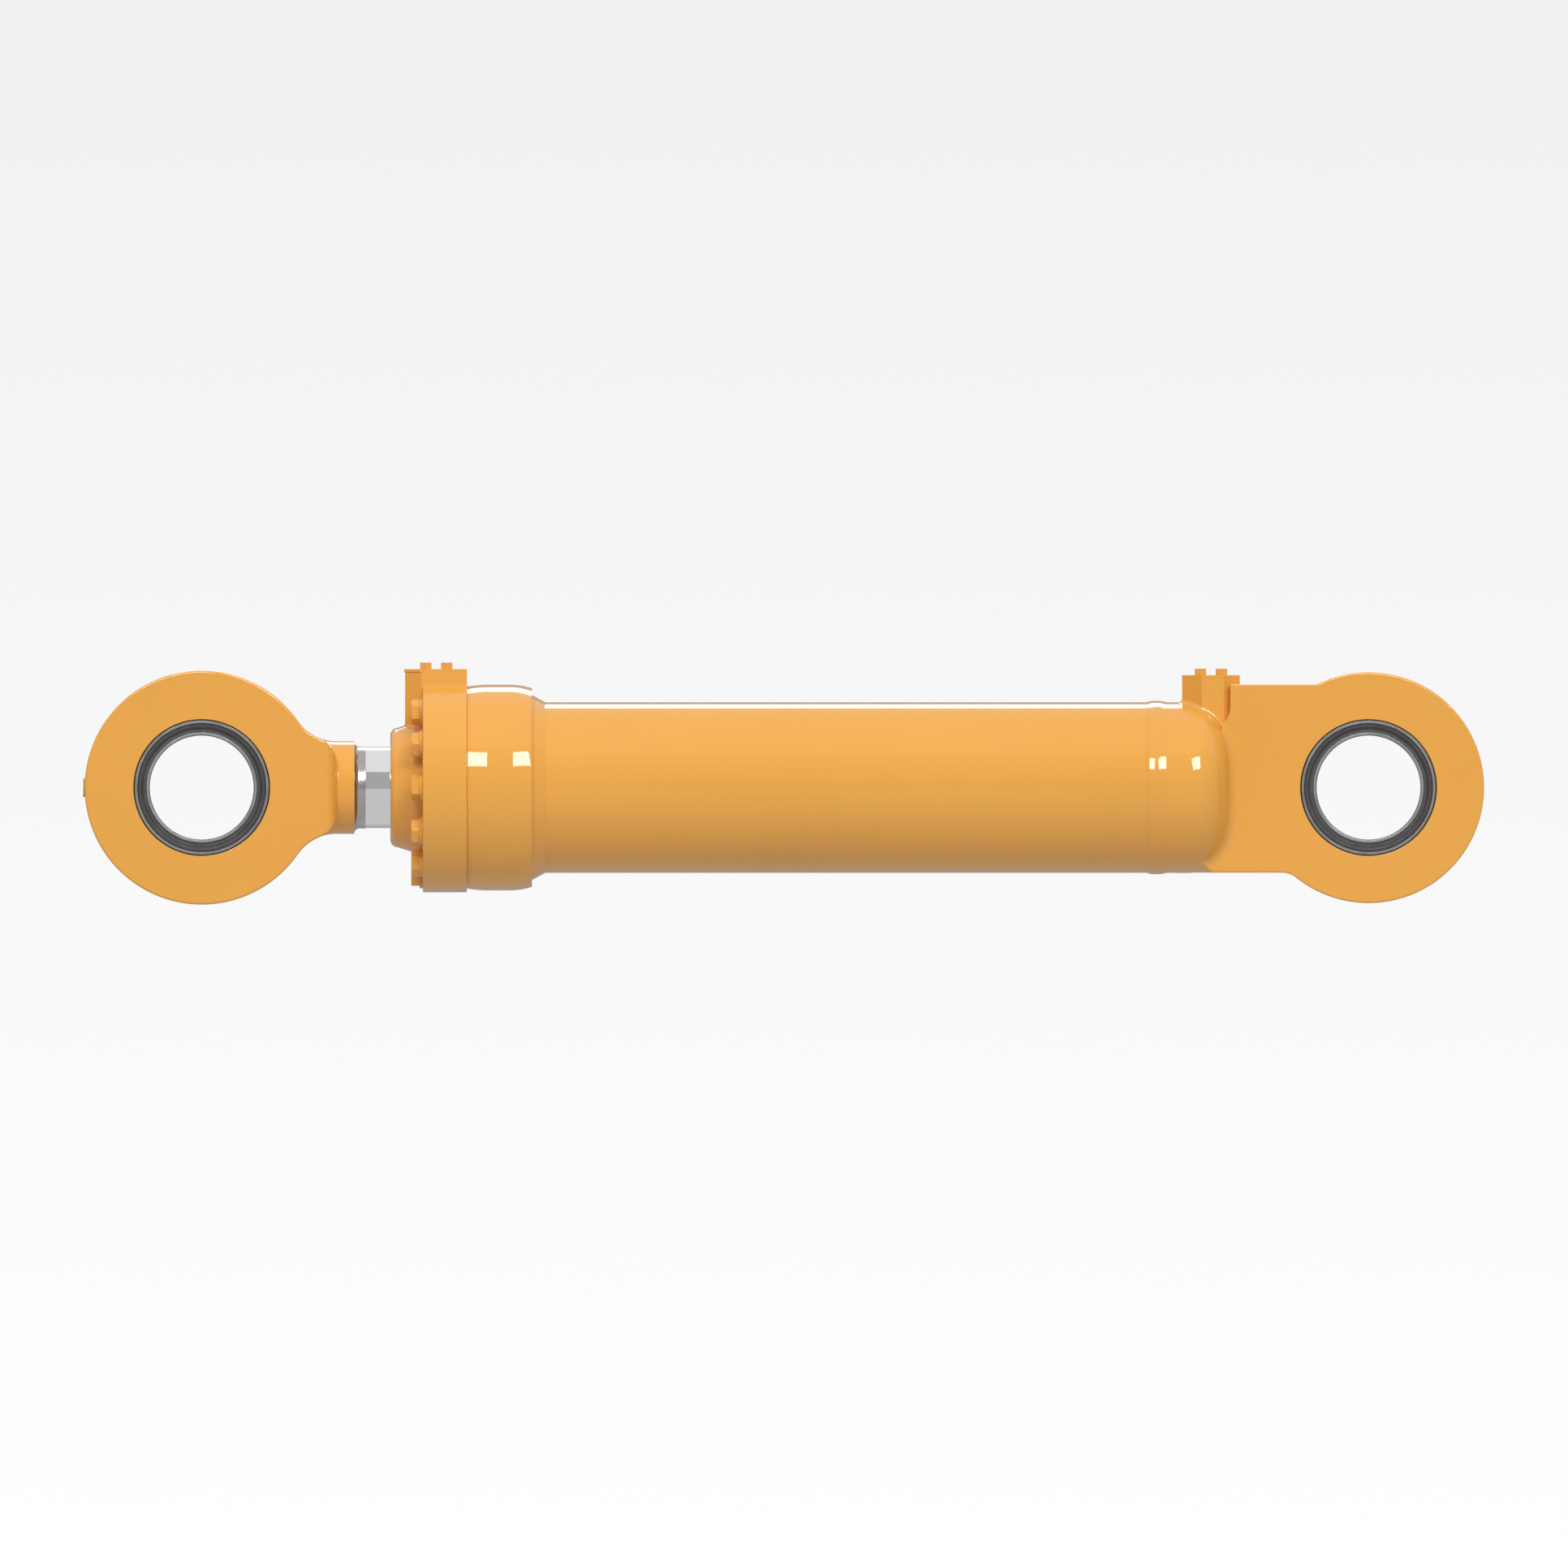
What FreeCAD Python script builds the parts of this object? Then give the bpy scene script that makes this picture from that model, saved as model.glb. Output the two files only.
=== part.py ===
"""Double-acting hydraulic cylinder with welded barrel, bolted head and two pinned eyes.

Millimetres. The origin is the centre of the base pin bore, +X runs along the cylinder from the
rod eye towards the base eye, the pin bores lie along Y, and +Z is up, with both oil ports on top.
The rod is drawn fully retracted.
"""
import FreeCAD
import Part
import math
import os

# ---------------------------------------------------------------- driving dimensions
CLOSED_LENGTH = 1460.0          # pin centre to pin centre, rod retracted
BORE_R = 177.8 / 2
TUBE_R = 213.5 / 2
ROD_R = 101.6 / 2
PIN_R = 65.0

FIT = 0.03                      # radial clearance of a running fit
SEAT = 0.05                     # clearance of a piece seated in its pocket
PRESS_GAP = 0.02                # drawn gap round a pressed or welded piece
DRILL_EXTRA = 0.15              # plain hole over thread or shank, per side
OVERCUT = 1.0                   # how far a cutter reaches past the face it opens
BEYOND = 250.0                  # clear of everything, for trimming solids
EDGE_MATCH = 0.01               # tolerance when picking an edge by its place

# stations along the cylinder
HEAD_FRONT_X = -1224.0
FLANGE_FRONT_X = -1183.4
FLANGE_REAR_X = -1128.1
SPIGOT_END_X = -1048.0
COLLAR_END_X = -1046.8
COLLAR_WELD_END_X = -1030.5
BASE_WELD_START_X = -277.5
BASE_JOINT_X = -264.3
BASE_WELD_END_X = -253.1
DOME_END_X = -177.0
ROD_CHROME_X = -1255.0
SHANK_END_X = -1269.0
PISTON_FRONT_X = -354.5
PISTON_REAR_X = -266.5

# eyes
ROD_EYE_R = 146.5
ROD_EYE_HALF = 78.0
BASE_EYE_R = 144.6
BASE_EYE_HALF = 45.0
EYE_POCKET_R = 85.0
EYE_POCKET_DEPTH = 10.0
BUSHING_R = 78.0
BUSHING_NOSE_R = 69.0
BUSHING_SETBACK = 3.0
BUSHING_MOUTH_CHAMFER = 1.2
POCKET_CHAMFER = 0.8
GREASE_HOLE_R = 2.5
GREASE_GROOVE_R = 3.5
GREASE_GROOVE_SHARE = 0.6       # groove length as a share of the eye width
GREASE_RECESS_R = 7.5
GREASE_RECESS_DEPTH = 9.0
GREASE_THREAD_R = 3.0
GREASE_THREAD_DEPTH = 8.0
GREASE_DRILL_R = 2.0

# pin seal section: radii and depths below the face of the eye
SEAL_CASE_FRONT = 0.5
SEAL_CASE_ROUND = 1.2
SEAL_CASE_LIP_R = 80.0
SEAL_CASE_FOOT_R = 78.4
SEAL_CASE_FOOT = 2.0
SEAL_LIP_FRONT = 1.4
SEAL_LIP_CONE_OUTER_R = 77.0
SEAL_LIP_CONE_INNER_R = 73.0
SEAL_LIP_FLAT = 5.4

# rod eye neck
NECK_BLEND_R = 59.2
SHANK_R = 58.0
NECK_PLATE_LENGTH = 168.0
NECK_CORNER_R = 34.0
NECK_END_ROUND_R = 17.0
NECK_FOOT_R = 2.5
RIM_ROUND_R = 3.0
EYE_BOSS_R = 12.0
EYE_BOSS_PROUD = 1.9
EYE_BOSS_CHAMFER = 0.6
WELD_FLARE_R = 55.9
WELD_FLARE_END_R = 51.0
WELD_FLARE_LENGTH = 8.0
WELD_BEAD_RISE = 0.25           # two narrow turned beads between flare and chrome

# base lug
DOME_CORNER_R = 45.0
LUG_BOTTOM_Z = -106.5
LUG_TOP_Z = 129.1
LUG_TOP_START_X = -173.0
LUG_BLEND_R = 28.0
LUG_SEAM_R = 15.0
LUG_EDGE_R = 2.5
BASE_BLOCK_SEAM_R = 5.0
BASE_BLOCK_CORNER_HEAD = 25.0
BASE_BLOCK_CORNER_EYE = 20.0

# barrel welds and inside of the base
WELD_ROOT_GAP = 2.0             # land left at the foot of a weld groove
WELD_BEVEL_LENGTH = 7.5
WELD_ROOT_RISE = 2.2            # wall left whole under a weld
COLLAR_WELD_R = 116.0
COLLAR_WELD_END_R = 107.0
BASE_WELD_CROWN_R = 108.5
CAVITY_R = 80.0
CAVITY_END_X = -224.0
CAVITY_CHAMFER = 8.0
BASE_PASSAGE_Z = 52.0

# collar the head bolts into
COLLAR_FRONT_R = 126.4
COLLAR_CROWN_R = 128.8
COLLAR_REAR_R = 124.4

# head
FLANGE_R = 131.1
NOSE_R = 74.0
NOSE_FOOT_R = 84.6
NOSE_ROUND_R = 8.0
BLOCK_FOOT_R = 4.0
BLOCK_FLANGE_R = 3.0
HEAD_BOLT_CIRCLE_R = 108.65
HEAD_BOLT_POSITIONS = 12
HEAD_BOLT_R = 19.05 / 2
HEAD_BOLT_FLATS = 28.6
HEAD_BOLT_HEAD = 10.5
HEAD_WASHER_R = 17.5
HEAD_WASHER_THICK = 4.0
HEAD_BOLT_REACH = 40.0
HEAD_BOLT_END_CHAMFER = 1.2
HEAD_BOLT_HOLE_EXTRA = 0.7      # clearance hole through the flange, per side
HEAD_BOLT_RUNOUT = 6.0
WASHER_HOLE_EXTRA = 0.5

# grooves of the head: first station, last station, floor radius
WIPER_GROOVE = (-1224.0, -1214.0, 58.0)
U_CUP_GROOVE = (-1205.0, -1190.0, 60.5)
BUFFER_GROOVE = (-1181.5, -1175.5, 59.0)
GUIDE_GROOVE = (-1160.0, -1100.0, 54.3)
HEAD_RING_GROOVE = (-1092.0, -1082.5, 83.4)
HEAD_BACKUP_THICK = 2.1
ROD_BACKUP_THICK = 3.1
HEAD_BORE_EXTRA = 0.25          # metal of the head clears the rod by this, per side
HEAD_PASSAGE_Z = 71.5
HEAD_PASSAGE_R = 8.0

# piston
WEAR_RING_DEPTH = 3.2
WEAR_RING_WIDTH = 18.0
PISTON_SEAL_WIDTH = 13.0
PISTON_R = BORE_R - 0.3
PISTON_CHAMFER = 2.5
GROOVE_PLAY = 0.3               # side play of a ring in its groove
PISTON_SEAT_R = 42.0            # rod journal the piston sits on
PISTON_RING_FLOOR_R = 46.4
PISTON_RING_FRONT_X = -313.0
PISTON_RING_REAR_X = -306.0
WEAR_FRONT_X = -338.0
PISTON_SEAL_X = -310.5
PISTON_SEAL_FLOOR = 8.9         # depth of the seal groove below the bore
WEAR_REAR_X = -283.0
PISTON_WASHER_THICK = 4.0
ROD_THREAD_R = 38.0
NUT_FLATS = 110.0
NUT_HEIGHT = 28.0
SET_SCREW_R = 5.0

# ports, four-bolt pattern for a one-inch flange
PORT_HOLE_R = 12.7
PORT_BOLT_DX = 26.2 / 2
PORT_BOLT_DY = 52.4 / 2
PORT_BOLT_R = 9.525 / 2
PORT_BOLT_FLATS = 14.3
PORT_BOLT_HEAD = 8.1
PORT_BOLT_REACH = 20.0
PORT_BOLT_CROWN = 3.5           # height of the full hexagon under its domed top
PORT_TAP_RUNOUT = 4.0
PORT_COVER_THICK = 3.9
PORT_COVER_EDGE_R = 0.6
PORT_COVER_HOLE_EXTRA = 0.6
PORT_RING_MEAN_R = 18.2
PORT_RING_SECTION_R = 1.75
PORT_GROOVE_DEPTH = 3.2
HEAD_PORT_X = -1166.5
HEAD_BLOCK_FRONT_X = -1205.6
HEAD_BLOCK_HALF_Y = 35.0
HEAD_BLOCK_CORNER = 20.2
HEAD_BLOCK_TOP_Z = 144.5
HEAD_BLOCK_ROOT_Z = 62.0        # where the block starts inside the nose
HEAD_COVER_OVERHANG = 1.0
BASE_PORT_X = -197.2
BASE_BLOCK_HEAD_X = -233.3
BASE_BLOCK_EYE_X = -161.0
BASE_BLOCK_HALF_Y = 39.0
BASE_BLOCK_TOP_Z = 136.9
BASE_BLOCK_ROOT_Z = 66.0        # where the block starts inside the dome
HEAD_PORT_RUNOUT = 6.0          # how far a port hole runs past the passage it meets
BASE_PORT_RUNOUT = 8.0

AXIS_X = FreeCAD.Vector(1, 0, 0)
AXIS_Y = FreeCAD.Vector(0, 1, 0)
AXIS_Z = FreeCAD.Vector(0, 0, 1)
ORIGIN = FreeCAD.Vector(0, 0, 0)


# ---------------------------------------------------------------- helpers
def side_point(x, z, level=0.0):
    return FreeCAD.Vector(x, level, z)


def plan_point(x, y, level=0.0):
    return FreeCAD.Vector(x, y, level)


def outline(steps, place, level=0.0):
    """Closed flat face. A step is an end point, or a middle point and an end point for an arc."""
    edges = []
    here = place(steps[0][0], steps[0][1], level)
    for step in steps[1:] + [steps[0]]:
        end = place(step[-2], step[-1], level)
        if len(step) == 4:
            middle = place(step[0], step[1], level)
            edges.append(Part.Arc(here, middle, end).toShape())
        elif here.distanceToPoint(end) > 1e-6:
            edges.append(Part.LineSegment(here, end).toShape())
        here = end
    return Part.Face(Part.Wire(edges))


def turned(steps):
    """Solid turned about the cylinder axis from an (x, radius) outline."""
    return outline(steps, side_point).revolve(ORIGIN, AXIS_X, 360)


def rod_along_x(x_start, x_end, radius, y=0.0, z=0.0):
    return Part.makeCylinder(radius, x_end - x_start, FreeCAD.Vector(x_start, y, z), AXIS_X)


def rod_along_y(x, y_start, y_end, radius, z=0.0):
    return Part.makeCylinder(radius, y_end - y_start, FreeCAD.Vector(x, y_start, z), AXIS_Y)


def rod_along_z(x, y, z_start, z_end, radius):
    return Part.makeCylinder(radius, z_end - z_start, FreeCAD.Vector(x, y, z_start), AXIS_Z)


def ring_along_x(x_start, x_end, inner, outer):
    return rod_along_x(x_start, x_end, outer).cut(rod_along_x(x_start, x_end, inner))


def hexagon(flats, height):
    """Hexagonal prism standing on z = 0 with two flats facing along X."""
    corner = flats / math.sqrt(3)
    points = []
    for index in range(7):
        angle = math.radians(60 * index + 30)
        points.append(FreeCAD.Vector(corner * math.cos(angle), corner * math.sin(angle), 0))
    return Part.Face(Part.makePolygon(points)).extrude(FreeCAD.Vector(0, 0, height))


def edge_middle(edge):
    first, last = edge.ParameterRange
    return edge.valueAt((first + last) / 2)


def edges_where(shape, test):
    chosen = []
    for edge in shape.Edges:
        if not edge.Degenerated and test(edge_middle(edge), edge):
            chosen.append(edge)
    return chosen


def is_upright(edge):
    ends = edge.Vertexes
    return abs(ends[0].X - ends[-1].X) < EDGE_MATCH and abs(ends[0].Y - ends[-1].Y) < EDGE_MATCH


def save(name, shape):
    if not shape.isValid():
        raise ValueError(name + " is not a valid shape")
    if len(shape.Solids) == 1:
        shape = shape.Solids[0]
    shape.exportStep("parts/" + name + ".step")


# ---------------------------------------------------------------- port hardware
def port_bolt_places(port_x):
    places = []
    for dx in (-PORT_BOLT_DX, PORT_BOLT_DX):
        for dy in (-PORT_BOLT_DY, PORT_BOLT_DY):
            places.append((port_x + dx, dy))
    return places


def port_cuts(port_x, block_top):
    """Ring groove and four tapped holes of a flanged port, as one cutter."""
    floor = block_top - PORT_GROOVE_DEPTH
    above = block_top + OVERCUT
    half_section = PORT_RING_SECTION_R + SEAT
    groove = rod_along_z(port_x, 0, floor, above, PORT_RING_MEAN_R + half_section)
    groove = groove.cut(rod_along_z(port_x, 0, floor, above, PORT_RING_MEAN_R - half_section))
    tap_end = block_top - PORT_BOLT_REACH - PORT_TAP_RUNOUT
    for x, y in port_bolt_places(port_x):
        groove = groove.fuse(rod_along_z(x, y, tap_end, above, PORT_BOLT_R + DRILL_EXTRA))
    return groove


def port_ring(port_x, block_top):
    """Face seal ring, squeezed slightly flat between its groove and the cover."""
    ring = Part.makeTorus(PORT_RING_MEAN_R, PORT_RING_SECTION_R,
                          FreeCAD.Vector(port_x, 0, block_top - PORT_RING_SECTION_R + 0.1), AXIS_Z)
    slab = Part.makeBox(60, 60, PORT_GROOVE_DEPTH - 0.04,
                        FreeCAD.Vector(port_x - 30, -30, block_top - PORT_GROOVE_DEPTH + 0.02))
    return ring.common(slab)


def port_cover(face, port_x, block_top):
    plate = face.extrude(FreeCAD.Vector(0, 0, PORT_COVER_THICK))
    cover_top = block_top + PORT_COVER_THICK
    plate = plate.makeFillet(PORT_COVER_EDGE_R, edges_where(
        plate, lambda middle, edge: middle.z > cover_top - EDGE_MATCH))
    for x, y in port_bolt_places(port_x):
        plate = plate.cut(rod_along_z(x, y, block_top - OVERCUT, cover_top + OVERCUT,
                                      PORT_BOLT_R + PORT_COVER_HOLE_EXTRA))
    return plate


def port_bolts(port_x, block_top):
    """Four hexagon bolts, heads resting on the cover."""
    seat = block_top + PORT_COVER_THICK
    bolts = []
    for x, y in port_bolt_places(port_x):
        head = hexagon(PORT_BOLT_FLATS, PORT_BOLT_HEAD)
        dome = Part.makeCone(PORT_BOLT_FLATS, PORT_BOLT_FLATS / 2, PORT_BOLT_HEAD - PORT_BOLT_CROWN,
                             FreeCAD.Vector(0, 0, PORT_BOLT_CROWN))
        crown = Part.makeCylinder(PORT_BOLT_FLATS, PORT_BOLT_CROWN).fuse(dome)
        head = head.common(crown)
        shank = Part.makeCylinder(PORT_BOLT_R, PORT_BOLT_REACH + PORT_COVER_THICK,
                                  FreeCAD.Vector(0, 0, -PORT_BOLT_REACH - PORT_COVER_THICK))
        bolt = head.fuse(shank).removeSplitter()
        bolt.translate(FreeCAD.Vector(x, y, seat))
        bolts.append(bolt)
    return Part.makeCompound(bolts)


# ---------------------------------------------------------------- pin eyes
def eye_cuts(pin_x, half_width):
    """Bushing bore and the two seal pockets of an eye, as one cutter."""
    outside = half_width + OVERCUT
    floor = half_width - EYE_POCKET_DEPTH
    bore = rod_along_y(pin_x, -outside, outside, BUSHING_R)
    front = rod_along_y(pin_x, -outside, -floor, EYE_POCKET_R)
    back = rod_along_y(pin_x, floor, outside, EYE_POCKET_R)
    return bore.fuse([front, back])


def pocket_chamfers(eye, half_width):
    """Break the sharp mouths of the two seal pockets."""
    mouths = edges_where(eye, lambda middle, edge: (
        abs(abs(middle.y) - half_width) < EDGE_MATCH
        and hasattr(edge.Curve, "Radius")
        and abs(edge.Curve.Radius - EYE_POCKET_R) < EDGE_MATCH))
    return eye.makeChamfer(POCKET_CHAMFER, mouths)


def pin_bushing(pin_x, half_width, grease_side):
    """Sleeve with turned-down ends, a lengthwise grease groove and its feed hole."""
    shoulder = half_width - EYE_POCKET_DEPTH - SEAT
    nose = half_width - BUSHING_SETBACK
    outer = BUSHING_R - PRESS_GAP
    mouth_r = PIN_R + BUSHING_MOUTH_CHAMFER
    mouth = nose - BUSHING_MOUTH_CHAMFER
    steps = [(mouth_r, -nose), (BUSHING_NOSE_R, -nose), (BUSHING_NOSE_R, -shoulder),
             (outer, -shoulder), (outer, shoulder),
             (BUSHING_NOSE_R, shoulder), (BUSHING_NOSE_R, nose), (mouth_r, nose),
             (PIN_R, mouth), (PIN_R, -mouth)]
    sleeve = outline(steps, plan_point).revolve(ORIGIN, AXIS_Y, 360)
    sleeve.translate(FreeCAD.Vector(pin_x, 0, 0))
    reach = BUSHING_R + OVERCUT
    start = pin_x if grease_side > 0 else pin_x - reach
    groove_half = half_width * GREASE_GROOVE_SHARE
    groove_x = pin_x + grease_side * (PIN_R - 1.0)
    groove = rod_along_y(groove_x, -groove_half, groove_half, GREASE_GROOVE_R)
    return sleeve.cut(rod_along_x(start, start + reach, GREASE_HOLE_R)).cut(groove)


def pin_seal(pin_x, half_width, side):
    """Steel case and rubber lip of one pin seal. side is -1 for the -Y pocket, +1 for +Y."""
    rear = EYE_POCKET_DEPTH - 2 * SEAT
    foot = EYE_POCKET_DEPTH - SEAL_CASE_FOOT
    outer = EYE_POCKET_R - PRESS_GAP
    front = SEAL_CASE_FRONT
    case_steps = [(outer, front + SEAL_CASE_ROUND), (outer - SEAL_CASE_ROUND, front),
                  (SEAL_CASE_LIP_R + 0.4, front), (SEAL_CASE_LIP_R, front + 0.4),
                  (SEAL_CASE_LIP_R, foot), (SEAL_CASE_FOOT_R, foot), (SEAL_CASE_FOOT_R, rear),
                  (outer, rear)]
    bond = FIT                  # drawn gap between rubber and case
    inner = BUSHING_NOSE_R + PRESS_GAP
    lip_steps = [(SEAL_CASE_LIP_R - bond, SEAL_LIP_FRONT), (SEAL_LIP_CONE_OUTER_R, SEAL_LIP_FRONT),
                 (SEAL_LIP_CONE_INNER_R, SEAL_LIP_FLAT), (inner, SEAL_LIP_FLAT), (inner, rear),
                 (SEAL_CASE_FOOT_R - bond, rear), (SEAL_CASE_FOOT_R - bond, foot - bond),
                 (SEAL_CASE_LIP_R - bond, foot - bond)]
    pieces = []
    for steps in (case_steps, lip_steps):
        placed = [(radius, side * (half_width - depth)) for radius, depth in steps]
        piece = outline(placed, plan_point).revolve(ORIGIN, AXIS_Y, 360)
        piece.translate(FreeCAD.Vector(pin_x, 0, 0))
        pieces.append(piece)
    return pieces


def grease_fitting(face_x, direction, recess):
    """Greasing nipple along X: hexagon, neck and ball end, sunk below its face."""
    base = face_x - direction * recess
    length = recess - 1.0
    stem = Part.makeCylinder(GREASE_THREAD_R, 7.0, FreeCAD.Vector(0, 0, -7.0))
    collar = hexagon(9.0, 3.0)
    neck = Part.makeCone(3.2, 2.3, length - 5.5, FreeCAD.Vector(0, 0, 3.0))
    ball = Part.makeCylinder(3.2, 2.5, FreeCAD.Vector(0, 0, length - 2.5))
    feed = Part.makeCylinder(1.0, length + 8.0, FreeCAD.Vector(0, 0, -7.5))
    nipple = stem.fuse([collar, neck, ball]).removeSplitter().cut(feed)
    nipple.rotate(ORIGIN, AXIS_Y, 90 * direction)
    nipple.translate(FreeCAD.Vector(base, 0, 0))
    return nipple


def grease_cuts(face_x, direction, recess, pin_x):
    """Recess, threaded seat and drilling from the rim of an eye to its bushing."""
    base = face_x - direction * recess
    pocket_start = min(base, face_x + direction)
    pocket = rod_along_x(pocket_start, pocket_start + recess + OVERCUT, GREASE_RECESS_R)
    seat_end = base - direction * GREASE_THREAD_DEPTH
    seat_start = min(base, seat_end)
    seat = rod_along_x(seat_start, seat_start + GREASE_THREAD_DEPTH, GREASE_THREAD_R + DRILL_EXTRA)
    bushing_x = pin_x + direction * (BUSHING_R - 2 * OVERCUT)
    drill_start = min(bushing_x, seat_end)
    drill = rod_along_x(drill_start, max(bushing_x, seat_end), GREASE_DRILL_R)
    return pocket.fuse([seat, drill])


# ---------------------------------------------------------------- rod side
def rod_eye():
    """Thick eye plate with a hollow-blended neck, round shank and grease boss."""
    pin_x = -CLOSED_LENGTH
    blend_z = SHANK_R + NECK_BLEND_R
    blend_x = math.sqrt((ROD_EYE_R + NECK_BLEND_R) ** 2 - blend_z ** 2)
    rim_share = ROD_EYE_R / (ROD_EYE_R + NECK_BLEND_R)
    rim_x = blend_x * rim_share
    rim_z = blend_z * rim_share
    corner_x = NECK_PLATE_LENGTH - NECK_CORNER_R
    corner_gap = NECK_BLEND_R + NECK_CORNER_R
    corner_z = blend_z - math.sqrt(corner_gap ** 2 - (blend_x - corner_x) ** 2)
    neck_share = NECK_BLEND_R / corner_gap
    neck_x = blend_x + (corner_x - blend_x) * neck_share
    neck_z = blend_z + (corner_z - blend_z) * neck_share
    first = math.atan2(rim_z - blend_z, rim_x - blend_x)
    last = math.atan2(neck_z - blend_z, neck_x - blend_x)
    middle = (first + last) / 2
    blend_mid_x = blend_x + NECK_BLEND_R * math.cos(middle)
    blend_mid_z = blend_z + NECK_BLEND_R * math.sin(middle)
    turn = math.atan2(neck_z - corner_z, neck_x - corner_x) / 2
    turn_x = corner_x + NECK_CORNER_R * math.cos(turn)
    turn_z = corner_z + NECK_CORNER_R * math.sin(turn)
    side = outline([(rim_x, rim_z),
                    (blend_mid_x, blend_mid_z, neck_x, neck_z),
                    (turn_x, turn_z, NECK_PLATE_LENGTH, corner_z),
                    (NECK_PLATE_LENGTH, -corner_z),
                    (turn_x, -turn_z, neck_x, -neck_z),
                    (blend_mid_x, -blend_mid_z, rim_x, -rim_z),
                    (-ROD_EYE_R, 0.0, rim_x, rim_z)], side_point, -ROD_EYE_HALF)
    plate = side.extrude(FreeCAD.Vector(0, 2 * ROD_EYE_HALF, 0))
    plate = plate.makeFillet(RIM_ROUND_R, edges_where(plate, lambda middle, edge: (
        abs(abs(middle.y) - ROD_EYE_HALF) < EDGE_MATCH)))
    round_x = NECK_PLATE_LENGTH - NECK_END_ROUND_R
    round_y = ROD_EYE_HALF - NECK_END_ROUND_R
    slant = NECK_END_ROUND_R * math.sqrt(0.5)
    clear_y = ROD_EYE_HALF + OVERCUT
    plan = outline([(-BEYOND, -clear_y), (0.0, -clear_y),
                    (0.0, -ROD_EYE_HALF), (round_x, -ROD_EYE_HALF),
                    (round_x + slant, -round_y - slant, NECK_PLATE_LENGTH, -round_y),
                    (NECK_PLATE_LENGTH, round_y),
                    (round_x + slant, round_y + slant, round_x, ROD_EYE_HALF),
                    (0.0, ROD_EYE_HALF), (0.0, clear_y), (-BEYOND, clear_y)], plan_point, -BEYOND)
    plate = plate.common(plan.extrude(FreeCAD.Vector(0, 0, 2 * BEYOND)))
    shank_length = SHANK_END_X - pin_x
    flare_x = neck_x - 4.0
    flare_r = blend_z - 0.4 - math.sqrt(NECK_BLEND_R ** 2 - (blend_x - flare_x) ** 2)
    flare_mid_x = (flare_x + blend_x) / 2
    flare_mid_r = blend_z - 0.2 - math.sqrt(NECK_BLEND_R ** 2 - (blend_x - flare_mid_x) ** 2)
    shank = turned([(90.0, 0.0), (90.0, 50.0), (flare_x, 50.0), (flare_x, flare_r),
                    (flare_mid_x, flare_mid_r, blend_x, SHANK_R),
                    (shank_length, SHANK_R), (shank_length, 0.0)])
    boss_face = -ROD_EYE_R - EYE_BOSS_PROUD
    boss = rod_along_x(boss_face, -ROD_EYE_R + EYE_BOSS_R, EYE_BOSS_R)
    boss = boss.makeChamfer(EYE_BOSS_CHAMFER, edges_where(boss, lambda middle, edge: (
        middle.x < boss_face + EDGE_MATCH)))
    eye = plate.fuse([shank, boss]).removeSplitter()
    eye = eye.makeFillet(NECK_FOOT_R, edges_where(eye, lambda middle, edge: (
        abs(middle.x - NECK_PLATE_LENGTH) < EDGE_MATCH
        and abs(math.hypot(middle.y, middle.z) - SHANK_R) < 0.5)))
    eye = eye.cut(eye_cuts(0.0, ROD_EYE_HALF))
    eye = pocket_chamfers(eye, ROD_EYE_HALF)
    eye = eye.cut(grease_cuts(boss_face, -1, GREASE_RECESS_DEPTH, 0.0))
    eye.translate(FreeCAD.Vector(pin_x, 0, 0))
    return eye


def rod_weld_collar():
    """Unplated flare where the rod is welded to its eye, ending in two fine beads."""
    inner = ROD_R + PRESS_GAP
    start = SHANK_END_X + SEAT
    bead_start = start + WELD_FLARE_LENGTH
    bead = (ROD_CHROME_X - bead_start) / 2
    low_r = WELD_FLARE_END_R
    crest_r = WELD_FLARE_END_R + WELD_BEAD_RISE
    return turned([(start, inner), (start, WELD_FLARE_R),
                   (start + 2.0, 53.0, bead_start, low_r),
                   (bead_start + bead / 2, crest_r, bead_start + bead, low_r),
                   (ROD_CHROME_X - bead / 2, crest_r, ROD_CHROME_X, low_r),
                   (ROD_CHROME_X, inner)])


def piston_rod():
    nut_end = PISTON_REAR_X + 37.0
    thread_start = PISTON_REAR_X - 2.0
    rod = turned([(SHANK_END_X + SEAT, 0.0), (SHANK_END_X + SEAT, ROD_R),
                  (PISTON_FRONT_X, ROD_R), (PISTON_FRONT_X, PISTON_SEAT_R),
                  (thread_start, PISTON_SEAT_R), (thread_start + 1.5, PISTON_SEAT_R - 2.0),
                  (thread_start + 4.0, ROD_THREAD_R), (nut_end - 2.0, ROD_THREAD_R),
                  (nut_end, ROD_THREAD_R - 2.0), (nut_end, 0.0)])
    return rod


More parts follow.
